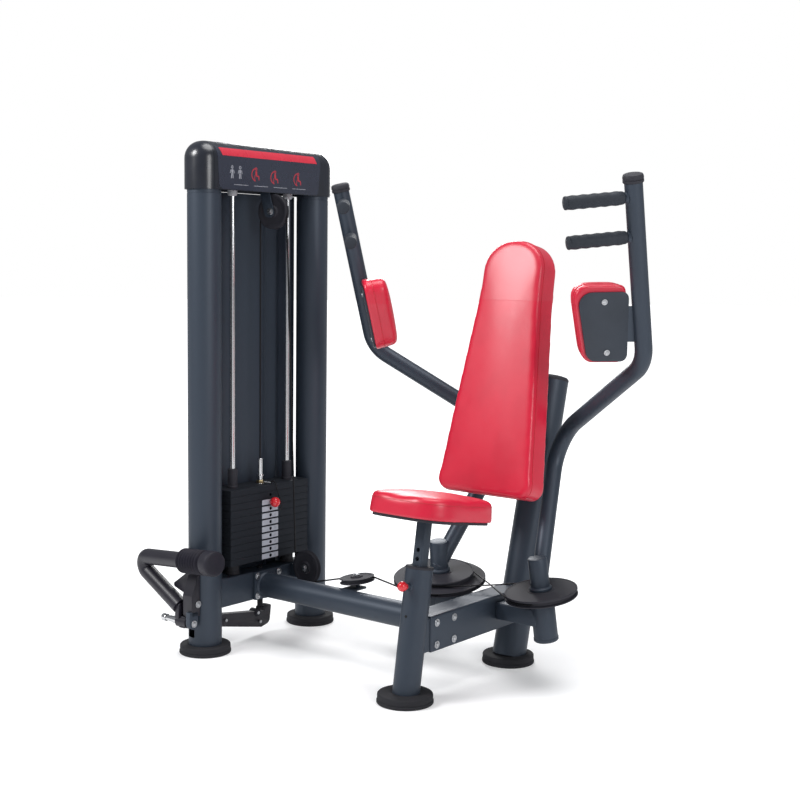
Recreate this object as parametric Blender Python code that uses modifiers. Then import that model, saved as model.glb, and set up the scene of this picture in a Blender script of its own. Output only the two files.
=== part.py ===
"""Seated chest-fly machine with a selectorised weight tower.

Metres, +Z up.  The origin is the centre of the seat post's foot, on the floor.
The user faces -Y, +X is the user's left and the weight tower stands at -X.
The two arms are mirror images in the plane X = 0.
"""
import math

import bmesh
import bpy
from mathutils import Matrix, Vector

# ---------------------------------------------------------------- clearances
GAP = 0.0003            # between pieces that touch
RUN = 0.0008            # radial, round turning and sliding pieces

# ------------------------------------------------------------- weight tower
MACHINE_HEIGHT = 1.550
TOWER_X = -0.766
TOWER_Y = 0.2158
COLUMN_PITCH = 0.477
COLUMN_RADIUS = 0.0508
COLUMN_WALL = 0.003
FOOT_RADIUS = 0.079
FOOT_HEIGHT = 0.027
HEAD_HEIGHT = 0.143
HEAD_WALL = 0.003
HEAD_OVERHANG = 0.0055       # head cover past the columns
HEAD_EDGE_RADIUS = 0.052
HEAD_RIDGE = 0.004            # least half width left flat on top of the head cover
BEAM_BOTTOM = 0.132
BEAM_HEIGHT = 0.090
BEAM_DEPTH = 0.060
TOP_BEAM_HEIGHT = 0.050
SHROUD_SETBACK = 0.060
SHROUD_HALF_WIDTH = 0.2115
SHROUD_WAVE = 0.005
SHROUD_THICKNESS = 0.003

# ------------------------------------------------------------- weight stack
PLATES_ON_CARRIAGE = 2
PLATES_AT_REST = 8
PLATE_PITCH = 0.0216
PLATE_DEPTH = 0.092
STACK_SIDE_GAP = 0.0139
STACK_BOTTOM = 0.258
ROD_RADIUS = 0.008
ROD_INSET = 0.0518
STEM_RADIUS = 0.0125
STEM_ABOVE_STACK = 0.081
SLEEVE_RADIUS = 0.0155
SLEEVE_HEIGHT = 0.060
CUSHION_RADIUS = 0.022
PIN_RADIUS = 0.0045
PIN_KNOB_RADIUS = 0.016
PIN_KNOB_OUT = 0.020
PIN_PAST_STEM = 0.008

# ------------------------------------------------------- cable and pulleys
CABLE_RADIUS = 0.0026
PULLEY_RADIUS = 0.054
PULLEY_THICKNESS = 0.022
PULLEY_GROOVE = 0.0495       # radius of the cable's centre line on a pulley
PULLEY_BOLT = 0.006
TOP_PULLEY_DROP = 0.057      # pulley centre below the head cover
TOP_PULLEY_TURN = math.radians(8.2)
TOP_CHEEK_SETBACK = 0.0588   # top pulley's cheeks behind the columns' inner side
LOWER_PULLEY = Vector((-0.650, 0.3110, 0.2241))
MID_PULLEY = Vector((-0.3975, 0.2615, 0.2340))
MID_PULLEY_AXIS = Vector((-0.113, -0.060, 1.0)).normalized()

# ------------------------------------------------------------------ base
POST_RADIUS = 0.0381
POST_LEAN = math.radians(9.0)
POST_LENGTH = 0.3705
MAIN_BEAM_RADIUS = 0.03805
MAIN_BEAM_Y = 0.205
MAIN_BEAM_Z = 0.174
FLANGE_LENGTH = 0.125
FLANGE_THICKNESS = 0.008
BASE_BEAM_WIDTH = 0.080
BASE_BEAM_HEIGHT = 0.102
BASE_BEAM_BOTTOM = 0.130
BASE_BEAM_FRONT = 0.062
REAR_POST_Y = 0.5031
REAR_POST_LEAN = math.radians(14.2)
REAR_POST_LENGTH = 0.878

# ------------------------------------------------------------------ seat
SEAT_TUBE_SIDE = 0.032
SEAT_TUBE_IN_POST = 0.200
SEAT_RISE = 0.1315           # post top to seat pan, along the post
SEAT_HOLE_PITCH = 0.025
SEAT_HOLE_RADIUS = 0.0045
SEAT_WIDTH = 0.268
SEAT_LENGTH = 0.300
SEAT_CORNER = 0.080
SEAT_SETBACK = 0.020
SEAT_PAD_THICKNESS = 0.066
PAN_THICKNESS = 0.008
PAN_MARGIN = 0.008
PLUNGER_BELOW_TOP = 0.052
PLUNGER_RADIUS = 0.0038
PLUNGER_KNOB_RADIUS = 0.0145

# -------------------------------------------------------------- back rest
BACK_LEAN = math.radians(12.2)
BACK_BOTTOM = Vector((0.0, 0.334, 0.535))   # lower edge of the front face
BACK_LENGTH = 0.750
BACK_WIDTH_TOP = 0.200
BACK_WIDTH_BOTTOM = 0.334
BACK_WIDTH_NECK = 0.218
BACK_NECK_DROP = 0.190       # neck below the top of the pad
BACK_NECK_RADIUS = 0.30
BACK_THICKNESS = 0.085
BACK_CORNER = 0.060
BACK_PLATE_THICKNESS = 0.008
BACK_PLATE_MARGIN = 0.022
BACK_BOSS_RADIUS = 0.024
BACK_BOSS_HEIGHTS = (0.22, 0.62)            # along the post from its top

# ------------------------------------------------------------------- arms
PIVOT = Vector((0.1814, 0.3918, 0.2718))    # centre of the disc's top face
PIVOT_AXIS = Vector((-0.0599, -0.1486, 1.0)).normalized()
HUB_RADIUS = 0.0275
HUB_HEIGHT = 0.0948
HUB_FLANGE_RADIUS = 0.0325
HUB_FLANGE_HEIGHT = 0.008
HOUSING_RADIUS = 0.035
HOUSING_LENGTH = 0.118
HOUSING_ARM_WIDTH = 0.060
DISC_RADIUS = 0.105
DISC_THICKNESS = 0.031
CAM_RADIUS = 0.1395
LIFT_RADIUS = 0.1345
LIFT_WRAP = 50.0            # degrees of the cam that the lift cable lies on
SYNC_WRAP = 50.0
LIFT_DROP = 0.0245          # lift cable below the disc's top face
SYNC_RADIUS = 0.100
SYNC_CABLE_RADIUS = 0.0021
SPINDLE_RADIUS = 0.010
SPINDLE_COVER = 0.0095       # disc left above the spindle
SYNC_DROP = 0.0120
ARM_RADIUS = 0.02415
ARM_FOOT = Vector((0.1814, 0.3802, 0.2848))
ARM_KNEE = Vector((0.0857, 0.6204, 0.6814))
ARM_ELBOW = Vector((0.4741, 0.4238, 0.9341))
ARM_TIP = Vector((0.4988, 0.2858, 1.4250))
KNEE_BEND = 0.12
ELBOW_BEND = 0.10
PAD_TURN = math.radians(48.3)               # plan angle of the pad plate
PAD_PLATE_THICKNESS = 0.006
PAD_DEPTH = 0.074
PAD_MARGIN = 0.018
GRIP_HEIGHTS = (0.895, 0.690)               # share of the upper tube
GRIP_LENGTH = 0.160
GRIP_START = 0.030
GRIP_RADIUS = 0.018
GRIP_BAR_RADIUS = 0.0125
GRIP_DROOP = 0.105

# ------------------------------------------------------------------ lever
COLUMN_FACE_Y = TOWER_Y - COLUMN_PITCH / 2 - COLUMN_RADIUS    # front of the front column
LEVER_PIN = Vector((-0.766, COLUMN_FACE_Y - 0.0215, 0.1050))
LEVER_PIN_RADIUS = 0.008
LEVER_PIN_LEFT = -0.875
LEVER_FOOT = Vector((-0.806, COLUMN_FACE_Y - 0.0195, 0.1420))
LEVER_BEND = Vector((-1.026, COLUMN_FACE_Y - 0.0145, 0.2700))
LEVER_TIP = Vector((-0.612, COLUMN_FACE_Y - 0.0585, 0.3125))
LEVER_RADIUS = 0.0212
LEVER_BEND_RADIUS = 0.026
LEVER_GRIP_RADIUS = 0.035
LEVER_GRIP_LENGTH = 0.150
ROCKER_WIDTH = 0.024
ROCKER_HEIGHT = 0.034
ROCKER_PAST_JACK = 0.0242
ROCKER_LENGTH = TOWER_Y - LEVER_PIN.y + ROCKER_PAST_JACK
ROCKER_DROP = math.radians(7.5)
ROCKER_TRAVEL = math.radians(6.0)
JACK_RADIUS = 0.009
JACK_HEAD_RADIUS = 0.013
JACK_HEAD_HEIGHT = 0.012

# --------------------------------------------------------------- finishes
PAINT = ((0.030, 0.042, 0.062, 1.0), 0.42, 0.30)
BLACK_PLASTIC = ((0.014, 0.016, 0.024, 1.0), 0.50, 0.0)
RUBBER = ((0.012, 0.012, 0.014, 1.0), 0.72, 0.0)
CHROME = ((0.62, 0.62, 0.64, 1.0), 0.16, 1.0)
IRON = ((0.020, 0.023, 0.030, 1.0), 0.58, 0.25)
RED_VINYL = ((0.76, 0.018, 0.055, 1.0), 0.38, 0.0)
RED_PLASTIC = ((0.70, 0.015, 0.030, 1.0), 0.25, 0.0)


# ======================================================== modelling helpers
def clear_scene():
    for old in list(bpy.data.objects):
        bpy.data.objects.remove(old, do_unlink=True)


def new_collection(name):
    made = bpy.data.collections.new(name)
    bpy.context.scene.collection.children.link(made)
    return made


def finish(obj, look):
    colour, roughness, metallic = look
    material = bpy.data.materials.new(obj.name + "_finish")
    material.use_nodes = True
    shader = material.node_tree.nodes["Principled BSDF"]
    shader.inputs["Base Color"].default_value = colour
    shader.inputs["Roughness"].default_value = roughness
    shader.inputs["Metallic"].default_value = metallic
    obj.data.materials.clear()
    obj.data.materials.append(material)
    obj.data.shade_smooth()
    obj.data.set_sharp_from_angle(angle=math.radians(35))
    return obj


def add(name, mesh, placement=None):
    obj = bpy.data.objects.new(name, mesh)
    PARTS.objects.link(obj)
    if placement is not None:
        obj.matrix_world = placement
    return obj


def from_bmesh(name, work, placement=None):
    mesh = bpy.data.meshes.new(name)
    work.to_mesh(mesh)
    work.free()
    return add(name, mesh, placement)


def axes(origin, x_axis, z_axis):
    """Placement whose Z is z_axis and whose X lies as near x_axis as it can."""
    z = Vector(z_axis).normalized()
    x = Vector(x_axis)
    x = (x - z * x.dot(z)).normalized()
    y = z.cross(x)
    turn = Matrix((x, y, z)).transposed().to_4x4()
    return Matrix.Translation(Vector(origin)) @ turn


def along(start, end):
    """Placement at start with Z pointing to end."""
    way = Vector(end) - Vector(start)
    side = Vector((0, 0, 1)) if abs(way.normalized().z) < 0.9 else Vector((1, 0, 0))
    return axes(start, side, way)


def box(name, low, high, placement=None):
    low, high = Vector(low), Vector(high)
    work = bmesh.new()
    bmesh.ops.create_cube(work, size=1.0)
    size = high - low
    bmesh.ops.scale(work, vec=size, verts=work.verts)
    bmesh.ops.translate(work, vec=(low + high) / 2, verts=work.verts)
    return from_bmesh(name, work, placement)


def cylinder(name, radius, start, end, sides=24, open_ends=False):
    start, end = Vector(start), Vector(end)
    length = (end - start).length
    work = bmesh.new()
    bmesh.ops.create_cone(work, cap_ends=not open_ends, segments=sides,
                          radius1=radius, radius2=radius, depth=length)
    bmesh.ops.translate(work, vec=(0, 0, length / 2), verts=work.verts)
    return from_bmesh(name, work, along(start, end))


def pipe(name, radius, wall, start, end, sides=28):
    obj = cylinder(name, radius, start, end, sides, open_ends=True)
    shell = obj.modifiers.new("wall", "SOLIDIFY")
    shell.thickness = wall
    shell.offset = -1.0
    return obj


def soften(obj, width, segments=2, angle=40):
    bevel = obj.modifiers.new("edges", "BEVEL")
    bevel.width = width
    bevel.segments = segments
    bevel.limit_method = "ANGLE"
    bevel.angle_limit = math.radians(angle)
    return obj


def turned(name, profile, placement, steps=32):
    """Solid of revolution about Z; profile is (radius, height), top to bottom."""
    mesh = bpy.data.meshes.new(name)
    points = [(radius, 0.0, height) for radius, height in profile]
    edges = [(i, i + 1) for i in range(len(points) - 1)]
    if profile[0][0] > 0:
        edges.append((len(points) - 1, 0))
    mesh.from_pydata(points, edges, [])
    obj = add(name, mesh, placement)
    screw = obj.modifiers.new("turn", "SCREW")
    screw.steps = screw.render_steps = steps
    screw.use_merge_vertices = True
    screw.merge_threshold = 0.00001
    return obj


def curve_to_mesh(name, curve, placement=None):
    """Mesh object with the shape of a curve, its loose caps welded on."""
    holder = bpy.data.objects.new(name + "_curve", curve)
    bpy.context.scene.collection.objects.link(holder)
    bpy.context.view_layer.update()
    graph = bpy.context.evaluated_depsgraph_get()
    mesh = bpy.data.meshes.new_from_object(holder.evaluated_get(graph))
    bpy.data.objects.remove(holder, do_unlink=True)
    work = bmesh.new()
    work.from_mesh(mesh)
    bmesh.ops.remove_doubles(work, verts=work.verts, dist=0.00001)
    work.to_mesh(mesh)
    work.free()
    mesh.name = name
    return add(name, mesh, placement)


def round_bar(name, path, radius, resolution=4):
    """Round bar or cable along a list of points."""
    curve = bpy.data.curves.new(name, "CURVE")
    curve.dimensions = "3D"
    curve.bevel_depth = radius
    curve.bevel_resolution = resolution
    curve.use_fill_caps = True
    spline = curve.splines.new("POLY")
    spline.points.add(len(path) - 1)
    for point, place in zip(spline.points, path):
        point.co = (*place, 1.0)
    return curve_to_mesh(name, curve)


def sheet(name, outline, thickness, placement):
    """Flat piece with the given outline, half its thickness each side of Z = 0."""
    curve = bpy.data.curves.new(name, "CURVE")
    curve.dimensions = "2D"
    curve.fill_mode = "BOTH"
    curve.extrude = thickness / 2
    spline = curve.splines.new("POLY")
    spline.points.add(len(outline) - 1)
    for point, (x, y) in zip(spline.points, outline):
        point.co = (x, y, 0.0, 1.0)
    spline.use_cyclic_u = True
    return curve_to_mesh(name, curve, placement)


def rounded(corners, steps=4):
    """Outline through (x, y, radius) corners, each rounded by an arc."""
    outline = []
    count = len(corners)
    for i, (x, y, radius) in enumerate(corners):
        here = Vector((x, y))
        before = (Vector(corners[i - 1][:2]) - here).normalized()
        after = (Vector(corners[(i + 1) % count][:2]) - here).normalized()
        if radius <= 0:
            outline.append((x, y))
            continue
        half = before.angle(after) / 2
        reach = radius / math.tan(half)
        centre = here + (before + after).normalized() * (radius / math.sin(half))
        first = here + before * reach - centre
        last = here + after * reach - centre
        for k in range(steps + 1):
            spoke = first.lerp(last, k / steps).normalized() * radius
            outline.append(tuple(centre + arc_spoke(first, last, k / steps, radius, spoke)))
    return outline


def arc_spoke(first, last, share, radius, fallback):
    """Radius vector a share of the way round from first to last."""
    turn = first.angle_signed(last)
    if abs(turn) < 1e-6:
        return fallback
    angle = math.atan2(first.y, first.x) - turn * share
    return Vector((math.cos(angle), math.sin(angle))) * radius


def bent_path(points, bends, steps=6):
    """Points of a tube that runs straight between arcs of the given radii."""
    path = [Vector(points[0])]
    for i, bend in enumerate(bends):
        before, here, after = (Vector(points[k]) for k in (i, i + 1, i + 2))
        back = (before - here).normalized()
        on = (after - here).normalized()
        half = back.angle(on) / 2
        reach = bend / math.tan(half)
        centre = here + (back + on).normalized() * (bend / math.sin(half))
        first = here + back * reach - centre
        last = here + on * reach - centre
        sweep = first.angle(last)
        for k in range(steps + 1):
            share = k / steps
            spoke = (first * math.sin((1 - share) * sweep)
                     + last * math.sin(share * sweep)) / math.sin(sweep)
            path.append(centre + spoke)
    path.append(Vector(points[-1]))
    return path


def arc(centre, across, up, radius, first, last, steps):
    """Points round centre from angle first to last, in degrees, from across to up."""
    turns = [math.radians(first + (last - first) * k / steps) for k in range(steps + 1)]
    return [Vector(centre) + Vector(across) * radius * math.cos(a)
            + Vector(up) * radius * math.sin(a) for a in turns]


def to_tools(obj):
    """A cutter or a piece that is joined to another: kept out of the parts."""
    PARTS.objects.unlink(obj)
    TOOLS.objects.link(obj)
    obj.hide_render = True
    obj.display_type = "WIRE"
    return obj


def boolean(target, tool, operation):
    to_tools(tool)
    step = target.modifiers.new(tool.name, "BOOLEAN")
    step.operation = operation
    step.object = tool
    step.solver = "EXACT"
    return target


def cut(target, tool):
    return boolean(target, tool, "DIFFERENCE")


def weld(target, tool):
    return boolean(target, tool, "UNION")


def moving(name, origin, pieces):
    """Parent pieces to an empty that stands on their joint's axis."""
    empty = bpy.data.objects.new(name, None)
    PARTS.objects.link(empty)
    empty.location = origin
    for piece in pieces:
        piece.parent = empty
        piece.matrix_parent_inverse = Matrix.Translation(-Vector(origin))


def mirrored(vector, side):
    return Vector((vector[0] * side, vector[1], vector[2]))


# ================================================================ the tower
def column_y(end):
    return TOWER_Y + end * COLUMN_PITCH / 2


HEAD_BOTTOM = MACHINE_HEIGHT - HEAD_HEIGHT
BEAM_TOP = BEAM_BOTTOM + BEAM_HEIGHT
BEAM_FRONT = TOWER_X + BEAM_DEPTH / 2
TOP_BEAM_BOTTOM = HEAD_BOTTOM + 0.006
STACK_LENGTH = COLUMN_PITCH - 2 * COLUMN_RADIUS - 2 * STACK_SIDE_GAP
ROD_OFFSET = STACK_LENGTH / 2 - ROD_INSET
STACK_FRONT = TOWER_X + PLATE_DEPTH / 2
PLATE_COUNT = 1 + PLATES_ON_CARRIAGE + PLATES_AT_REST
STACK_TOP = STACK_BOTTOM + PLATE_COUNT * PLATE_PITCH
STEM_TOP = STACK_TOP + STEM_ABOVE_STACK
TOP_WAY = Vector((math.cos(TOP_PULLEY_TURN), math.sin(TOP_PULLEY_TURN), 0.0))
TOP_PULLEY = Vector((TOWER_X, TOWER_Y, HEAD_BOTTOM - TOP_PULLEY_DROP)) + TOP_WAY * PULLEY_GROOVE
TOP_PULLEY_AXIS = Vector((0, 0, 1)).cross(TOP_WAY)


def foot(name, x, y):
    edge = FOOT_RADIUS - 0.004
    profile = [(0.0, FOOT_HEIGHT), (FOOT_RADIUS * 0.80, FOOT_HEIGHT),
               (FOOT_RADIUS * 0.90, FOOT_HEIGHT - 0.005), (FOOT_RADIUS, 0.013),
               (FOOT_RADIUS, 0.004), (edge, 0.0), (0.0, 0.0)]
    return finish(turned(name, profile, Matrix.Translation((x, y, 0)), 24), RUBBER)


def column(name, end):
    y = column_y(end)
    start, stop = (TOWER_X, y, FOOT_HEIGHT + GAP), (TOWER_X, y, HEAD_BOTTOM + 0.075)
    return pipe(name, COLUMN_RADIUS, COLUMN_WALL, start, stop, 28)


def between_columns(name, low_z, high_z):
    """Beam from column to column, its ends shaped to the columns."""
    low = (TOWER_X - BEAM_DEPTH / 2, column_y(-1), low_z)
    high = (TOWER_X + BEAM_DEPTH / 2, column_y(1), high_z)
    beam = box(name, low, high)
    for end in (-1, 1):
        y = column_y(end)
        cut(beam, cylinder(f"{name}_end_{end}", COLUMN_RADIUS + GAP,
                           (TOWER_X, y, low_z - 0.02), (TOWER_X, y, high_z + 0.02), 32))
    return beam


def front_column():
    obj = column("front_column", -1)
    y = column_y(-1) - COLUMN_RADIUS
    side = [(y + 0.012, BEAM_BOTTOM - 0.006), (y - 0.030, BEAM_BOTTOM - 0.006),
            (y - 0.030, BEAM_BOTTOM + 0.058), (y - 0.006, BEAM_BOTTOM + 0.118),
            (y + 0.012, BEAM_BOTTOM + 0.118)]
    bracket = sheet("lever_bracket", side, 0.040,
                    axes((TOWER_X + 0.008, 0, 0), (0, 1, 0), (1, 0, 0)))
    weld(obj, bracket)
    pin_y, pin_z = LEVER_PIN.y, LEVER_PIN.z
    ear = rounded([(pin_y - 0.017, pin_z - 0.017, 0.015), (pin_y + 0.017, pin_z - 0.017, 0.015),
                   (pin_y + 0.017, BEAM_BOTTOM + 0.010, 0.0), (pin_y - 0.017, BEAM_BOTTOM + 0.010, 0.0)])
    weld(obj, sheet("lever_ear", ear, 0.018, axes((TOWER_X + 0.019, 0, 0), (0, 1, 0), (1, 0, 0))))
    low, high = LEVER_PIN.z - 0.052, BEAM_BOTTOM - 0.004
    cut(obj, box("rocker_slot", (TOWER_X - 0.030, y - 0.010, low),
                 (TOWER_X + 0.006, column_y(-1) + COLUMN_RADIUS + 0.02, high)))
    cut(obj, cylinder("lever_pin_bore", LEVER_PIN_RADIUS + GAP,
                      (TOWER_X + 0.009, pin_y, pin_z), (TOWER_X + 0.040, pin_y, pin_z), 16))
    return finish(obj, PAINT)


def lower_crossbeam():
    beam = between_columns("lower_crossbeam", BEAM_BOTTOM, BEAM_TOP)
    plate_y = LOWER_PULLEY.y + PULLEY_THICKNESS / 2 + 0.003
    tab = box("lower_pulley_tab", (BEAM_FRONT - 0.005, plate_y, LOWER_PULLEY.z - 0.045),
              (LOWER_PULLEY.x + 0.018, plate_y + 0.008, LOWER_PULLEY.z - 0.0026))
    weld(beam, tab)
    weld(beam, cylinder("lower_pulley_eye", 0.018, (LOWER_PULLEY.x, plate_y, LOWER_PULLEY.z),
                        (LOWER_PULLEY.x, plate_y + 0.008, LOWER_PULLEY.z), 16))
    weld(beam, cylinder("lower_pulley_pin", PULLEY_BOLT,
                        (LOWER_PULLEY.x, plate_y + 0.004, LOWER_PULLEY.z),
                        (LOWER_PULLEY.x, LOWER_PULLEY.y - PULLEY_THICKNESS / 2 - 0.002,
                         LOWER_PULLEY.z), 16))
    cut(beam, cylinder("jack_bore", JACK_RADIUS + RUN, (TOWER_X, TOWER_Y, BEAM_BOTTOM - 0.02),
                       (TOWER_X, TOWER_Y, BEAM_TOP + 0.02), 16))
    return finish(beam, PAINT)


def top_beam():
    top = TOP_BEAM_BOTTOM + TOP_BEAM_HEIGHT
    beam = between_columns("top_beam", TOP_BEAM_BOTTOM, top)
    reach = PULLEY_THICKNESS / 2 + 0.003
    inside = COLUMN_RADIUS - TOP_CHEEK_SETBACK
    for name, low in (("front_cheek", -reach - 0.004), ("rear_cheek", reach)):
        height = TOP_BEAM_BOTTOM + 0.010 - TOP_PULLEY.z
        drop = rounded([(-0.018, -0.018, 0.010), (0.018, -0.018, 0.010),
                        (inside, height, 0.0), (inside - 0.036, height, 0.0)])
        place = axes(TOP_PULLEY + TOP_PULLEY_AXIS * (low + 0.002), TOP_WAY, -TOP_PULLEY_AXIS)
        weld(beam, sheet(name, drop, 0.004, place))
    weld(beam, cylinder("top_pulley_pin", PULLEY_BOLT, TOP_PULLEY - TOP_PULLEY_AXIS * (reach + 0.002),
                        TOP_PULLEY + TOP_PULLEY_AXIS * (reach + 0.002), 16))
    return finish(beam, PAINT)


def head_cover():
    half_width = COLUMN_RADIUS + HEAD_OVERHANG
    half_length = COLUMN_PITCH / 2 + half_width
    centre = Matrix.Translation((TOWER_X, TOWER_Y, HEAD_BOTTOM))
    outer = box("head_cover", (-half_width, -half_length, -HEAD_HEIGHT),
                (half_width, half_length, HEAD_HEIGHT), centre)
    edge = min(HEAD_EDGE_RADIUS, half_width - HEAD_RIDGE)
    soften(outer, edge, 5)
    wall = HEAD_WALL
    inner = box("head_inside", (wall - half_width, wall - half_length, wall - HEAD_HEIGHT),
                (half_width - wall, half_length - wall, HEAD_HEIGHT - wall), centre)
    soften(inner, edge - wall, 5)
    cut(outer, inner)
    cut(outer, box("head_below", (-0.2, -0.6, -0.4), (0.2, 0.6, 0.0), centre))
    return finish(outer, BLACK_PLASTIC)


def rear_shroud():
    """Fluted sheet behind the stack, tied to the crossbeam by two tabs."""
    low, high = BEAM_BOTTOM + 0.05, HEAD_BOTTOM - 0.001
    middle = (low + high) / 2
    work = bmesh.new()
    bmesh.ops.create_grid(work, x_segments=24, y_segments=1, size=1.0)
    for vert in work.verts:
        share, rise = vert.co.x, vert.co.y
        wave = SHROUD_WAVE * math.cos(3 * math.pi * share)
        vert.co = (TOWER_X - SHROUD_SETBACK + wave, TOWER_Y + share * SHROUD_HALF_WIDTH,
                   middle + rise * (high - low) / 2)
    bmesh.ops.recalc_face_normals(work, faces=work.faces)
    obj = from_bmesh("rear_shroud", work)
    shell = obj.modifiers.new("wall", "SOLIDIFY")
    shell.thickness = SHROUD_THICKNESS
    shell.offset = 0.0
    for end in (-1, 1):
        y = TOWER_Y + end * 0.110
        weld(obj, box(f"shroud_tab_{end}", (TOWER_X - SHROUD_SETBACK - 0.004, y - 0.012, BEAM_TOP - 0.030),
                      (TOWER_X - BEAM_DEPTH / 2 - GAP, y + 0.012, BEAM_TOP - 0.010)))
    return finish(obj, PAINT)


def guide_rod(name, end):
    y = TOWER_Y + end * ROD_OFFSET
    return finish(cylinder(name, ROD_RADIUS, (TOWER_X, y, BEAM_TOP + GAP),
                           (TOWER_X, y, TOP_BEAM_BOTTOM - GAP), 16), CHROME)


def stack_cushion(name, end):
    y = TOWER_Y + end * ROD_OFFSET
    bore, low, high = ROD_RADIUS + GAP, 0.0, STACK_BOTTOM - GAP - BEAM_TOP - GAP
    profile = [(CUSHION_RADIUS * 0.85, high), (CUSHION_RADIUS, high - 0.004),
               (CUSHION_RADIUS, low), (bore, low), (bore, high)]
    return finish(turned(name, profile, Matrix.Translation((TOWER_X, y, BEAM_TOP + GAP)), 16), RUBBER)


def weight_plate(name, layer, sleeves=False):
    """One plate; layer 0 lies on the cushions and the topmost is the head plate."""
    low = STACK_BOTTOM + layer * PLATE_PITCH
    high = low + PLATE_PITCH - GAP
    obj = box(name, (TOWER_X - PLATE_DEPTH / 2, TOWER_Y - STACK_LENGTH / 2, low),
              (TOWER_X + PLATE_DEPTH / 2, TOWER_Y + STACK_LENGTH / 2, high))
    bore_top = high + 0.01
    for end in (-1, 1):
        y = TOWER_Y + end * ROD_OFFSET
        if sleeves:
            bore_top = high + SLEEVE_HEIGHT + 0.01
            weld(obj, cylinder(f"{name}_sleeve_{end}", SLEEVE_RADIUS, (TOWER_X, y, high - 0.005),
                               (TOWER_X, y, high + SLEEVE_HEIGHT), 20))
        cut(obj, cylinder(f"{name}_rod_bore_{end}", ROD_RADIUS + RUN, (TOWER_X, y, low - 0.01),
                          (TOWER_X, y, bore_top), 10))
    cut(obj, cylinder(f"{name}_stem_bore", STEM_RADIUS + RUN, (TOWER_X, TOWER_Y, low - 0.01),
                      (TOWER_X, TOWER_Y, bore_top), 12))
    if not sleeves:
        z = pin_height(layer)
        cut(obj, cylinder(f"{name}_pin_bore", PIN_RADIUS + RUN, (TOWER_X - PLATE_DEPTH, TOWER_Y, z),
                          (STACK_FRONT + 0.01, TOWER_Y, z), 8))
    return finish(obj, IRON)


def pin_height(layer):
    return STACK_BOTTOM + (layer + 0.5) * PLATE_PITCH


def selector_stem():
    obj = cylinder("selector_stem", STEM_RADIUS, (TOWER_X, TOWER_Y, STACK_BOTTOM + 0.003),
                   (TOWER_X, TOWER_Y, STEM_TOP), 16)
    for layer in range(PLATE_COUNT - 1):
        z = pin_height(layer)
        cut(obj, cylinder(f"stem_bore_{layer}", PIN_RADIUS + RUN, (TOWER_X - 0.03, TOWER_Y, z),
                          (TOWER_X + 0.03, TOWER_Y, z), 8))
    return finish(obj, CHROME)


def selector_pin():
    z = pin_height(PLATES_AT_REST)
    tip = TOWER_X - STEM_RADIUS - PIN_PAST_STEM
    knob = STACK_FRONT + PIN_KNOB_OUT - tip
    ball = [(knob + PIN_KNOB_RADIUS * math.sin(math.radians(a)),
             PIN_KNOB_RADIUS * math.cos(math.radians(a))) for a in range(90, -61, -15)]
    neck = [(knob - PIN_KNOB_RADIUS - 0.001, 0.0075), (knob - PIN_KNOB_RADIUS - 0.001, PIN_RADIUS)]
    profile = [(max(r, 0.0), h) for h, r in ball] + [(r, h) for h, r in neck]
    profile[0] = (0.0, knob + PIN_KNOB_RADIUS)
    profile += [(PIN_RADIUS, 0.003), (PIN_RADIUS - 0.0015, 0.0), (0.0, 0.0)]
    obj = turned("selector_pin", profile, along((tip, TOWER_Y, z), (0, TOWER_Y, z)), 16)
    return finish(obj, RED_PLASTIC)


def pin_lanyard():
    """Short cord from the head plate's front edge to the selector pin's knob."""
    route = [(-0.7300, 0.2270, 0.4990), (-0.7255, 0.2275, 0.5040), (-0.7195, 0.2282, 0.5050),
             (-0.7140, 0.2292, 0.5010), (-0.7105, 0.2305, 0.4930), (-0.7085, 0.2322, 0.4830),
             (-0.7070, 0.2345, 0.4720), (-0.7055, 0.2375, 0.4610), (-0.7042, 0.2410, 0.4500),
             (-0.7030, 0.2440, 0.4390), (-0.7020, 0.2455, 0.4280), (-0.7010, 0.2445, 0.4190),
             (-0.7005, 0.2400, 0.4140), (-0.7000, 0.2345, 0.4160), (-0.7000, 0.2300, 0.4225)]
    return finish(round_bar("pin_lanyard", route, 0.0014, 2), RUBBER)


# ====================================================== pulleys and cables
def pulley(name, centre, axis):
    half, floor = PULLEY_THICKNESS / 2, PULLEY_GROOVE - CABLE_RADIUS - 0.0011
    profile = [(PULLEY_BOLT + RUN, half), (0.018, half), (0.021, half - 0.003),
               (PULLEY_RADIUS - 0.003, half - 0.003), (PULLEY_RADIUS, CABLE_RADIUS + 0.0034),
               (floor, CABLE_RADIUS + 0.0010)]
    profile += [(radius, -height) for radius, height in reversed(profile)]
    return finish(turned(name, profile, axes(centre, (1, 0, 0.1), axis), 20), BLACK_PLASTIC)


def cam_centre(drop, side=1):
    return mirrored(PIVOT - PIVOT_AXIS * drop, side)


def cam_turn():
    """Angle, in plan, that the cable turns through on the middle pulley."""
    way = cam_centre(LIFT_DROP, -1) - MID_PULLEY
    reach = math.hypot(way.x, way.y)
    turn = math.asin((PULLEY_GROOVE + LIFT_RADIUS) / reach) - math.atan2(way.y, way.x)
    return math.degrees(turn)


def disc_plane(side):
    """Unit vectors in a disc's plane: near +X and near +Y."""
    axis = mirrored(PIVOT_AXIS, side)
    across = (Vector((1, 0, 0)) - axis * axis.x).normalized()
    return across, axis.cross(across)


def stem_cable():
    return finish(round_bar("stem_cable", [(TOWER_X, TOWER_Y, STEM_TOP + GAP),
                                           (TOWER_X, TOWER_Y, TOP_PULLEY.z - GAP)],
                            CABLE_RADIUS, 2), RUBBER)


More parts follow.
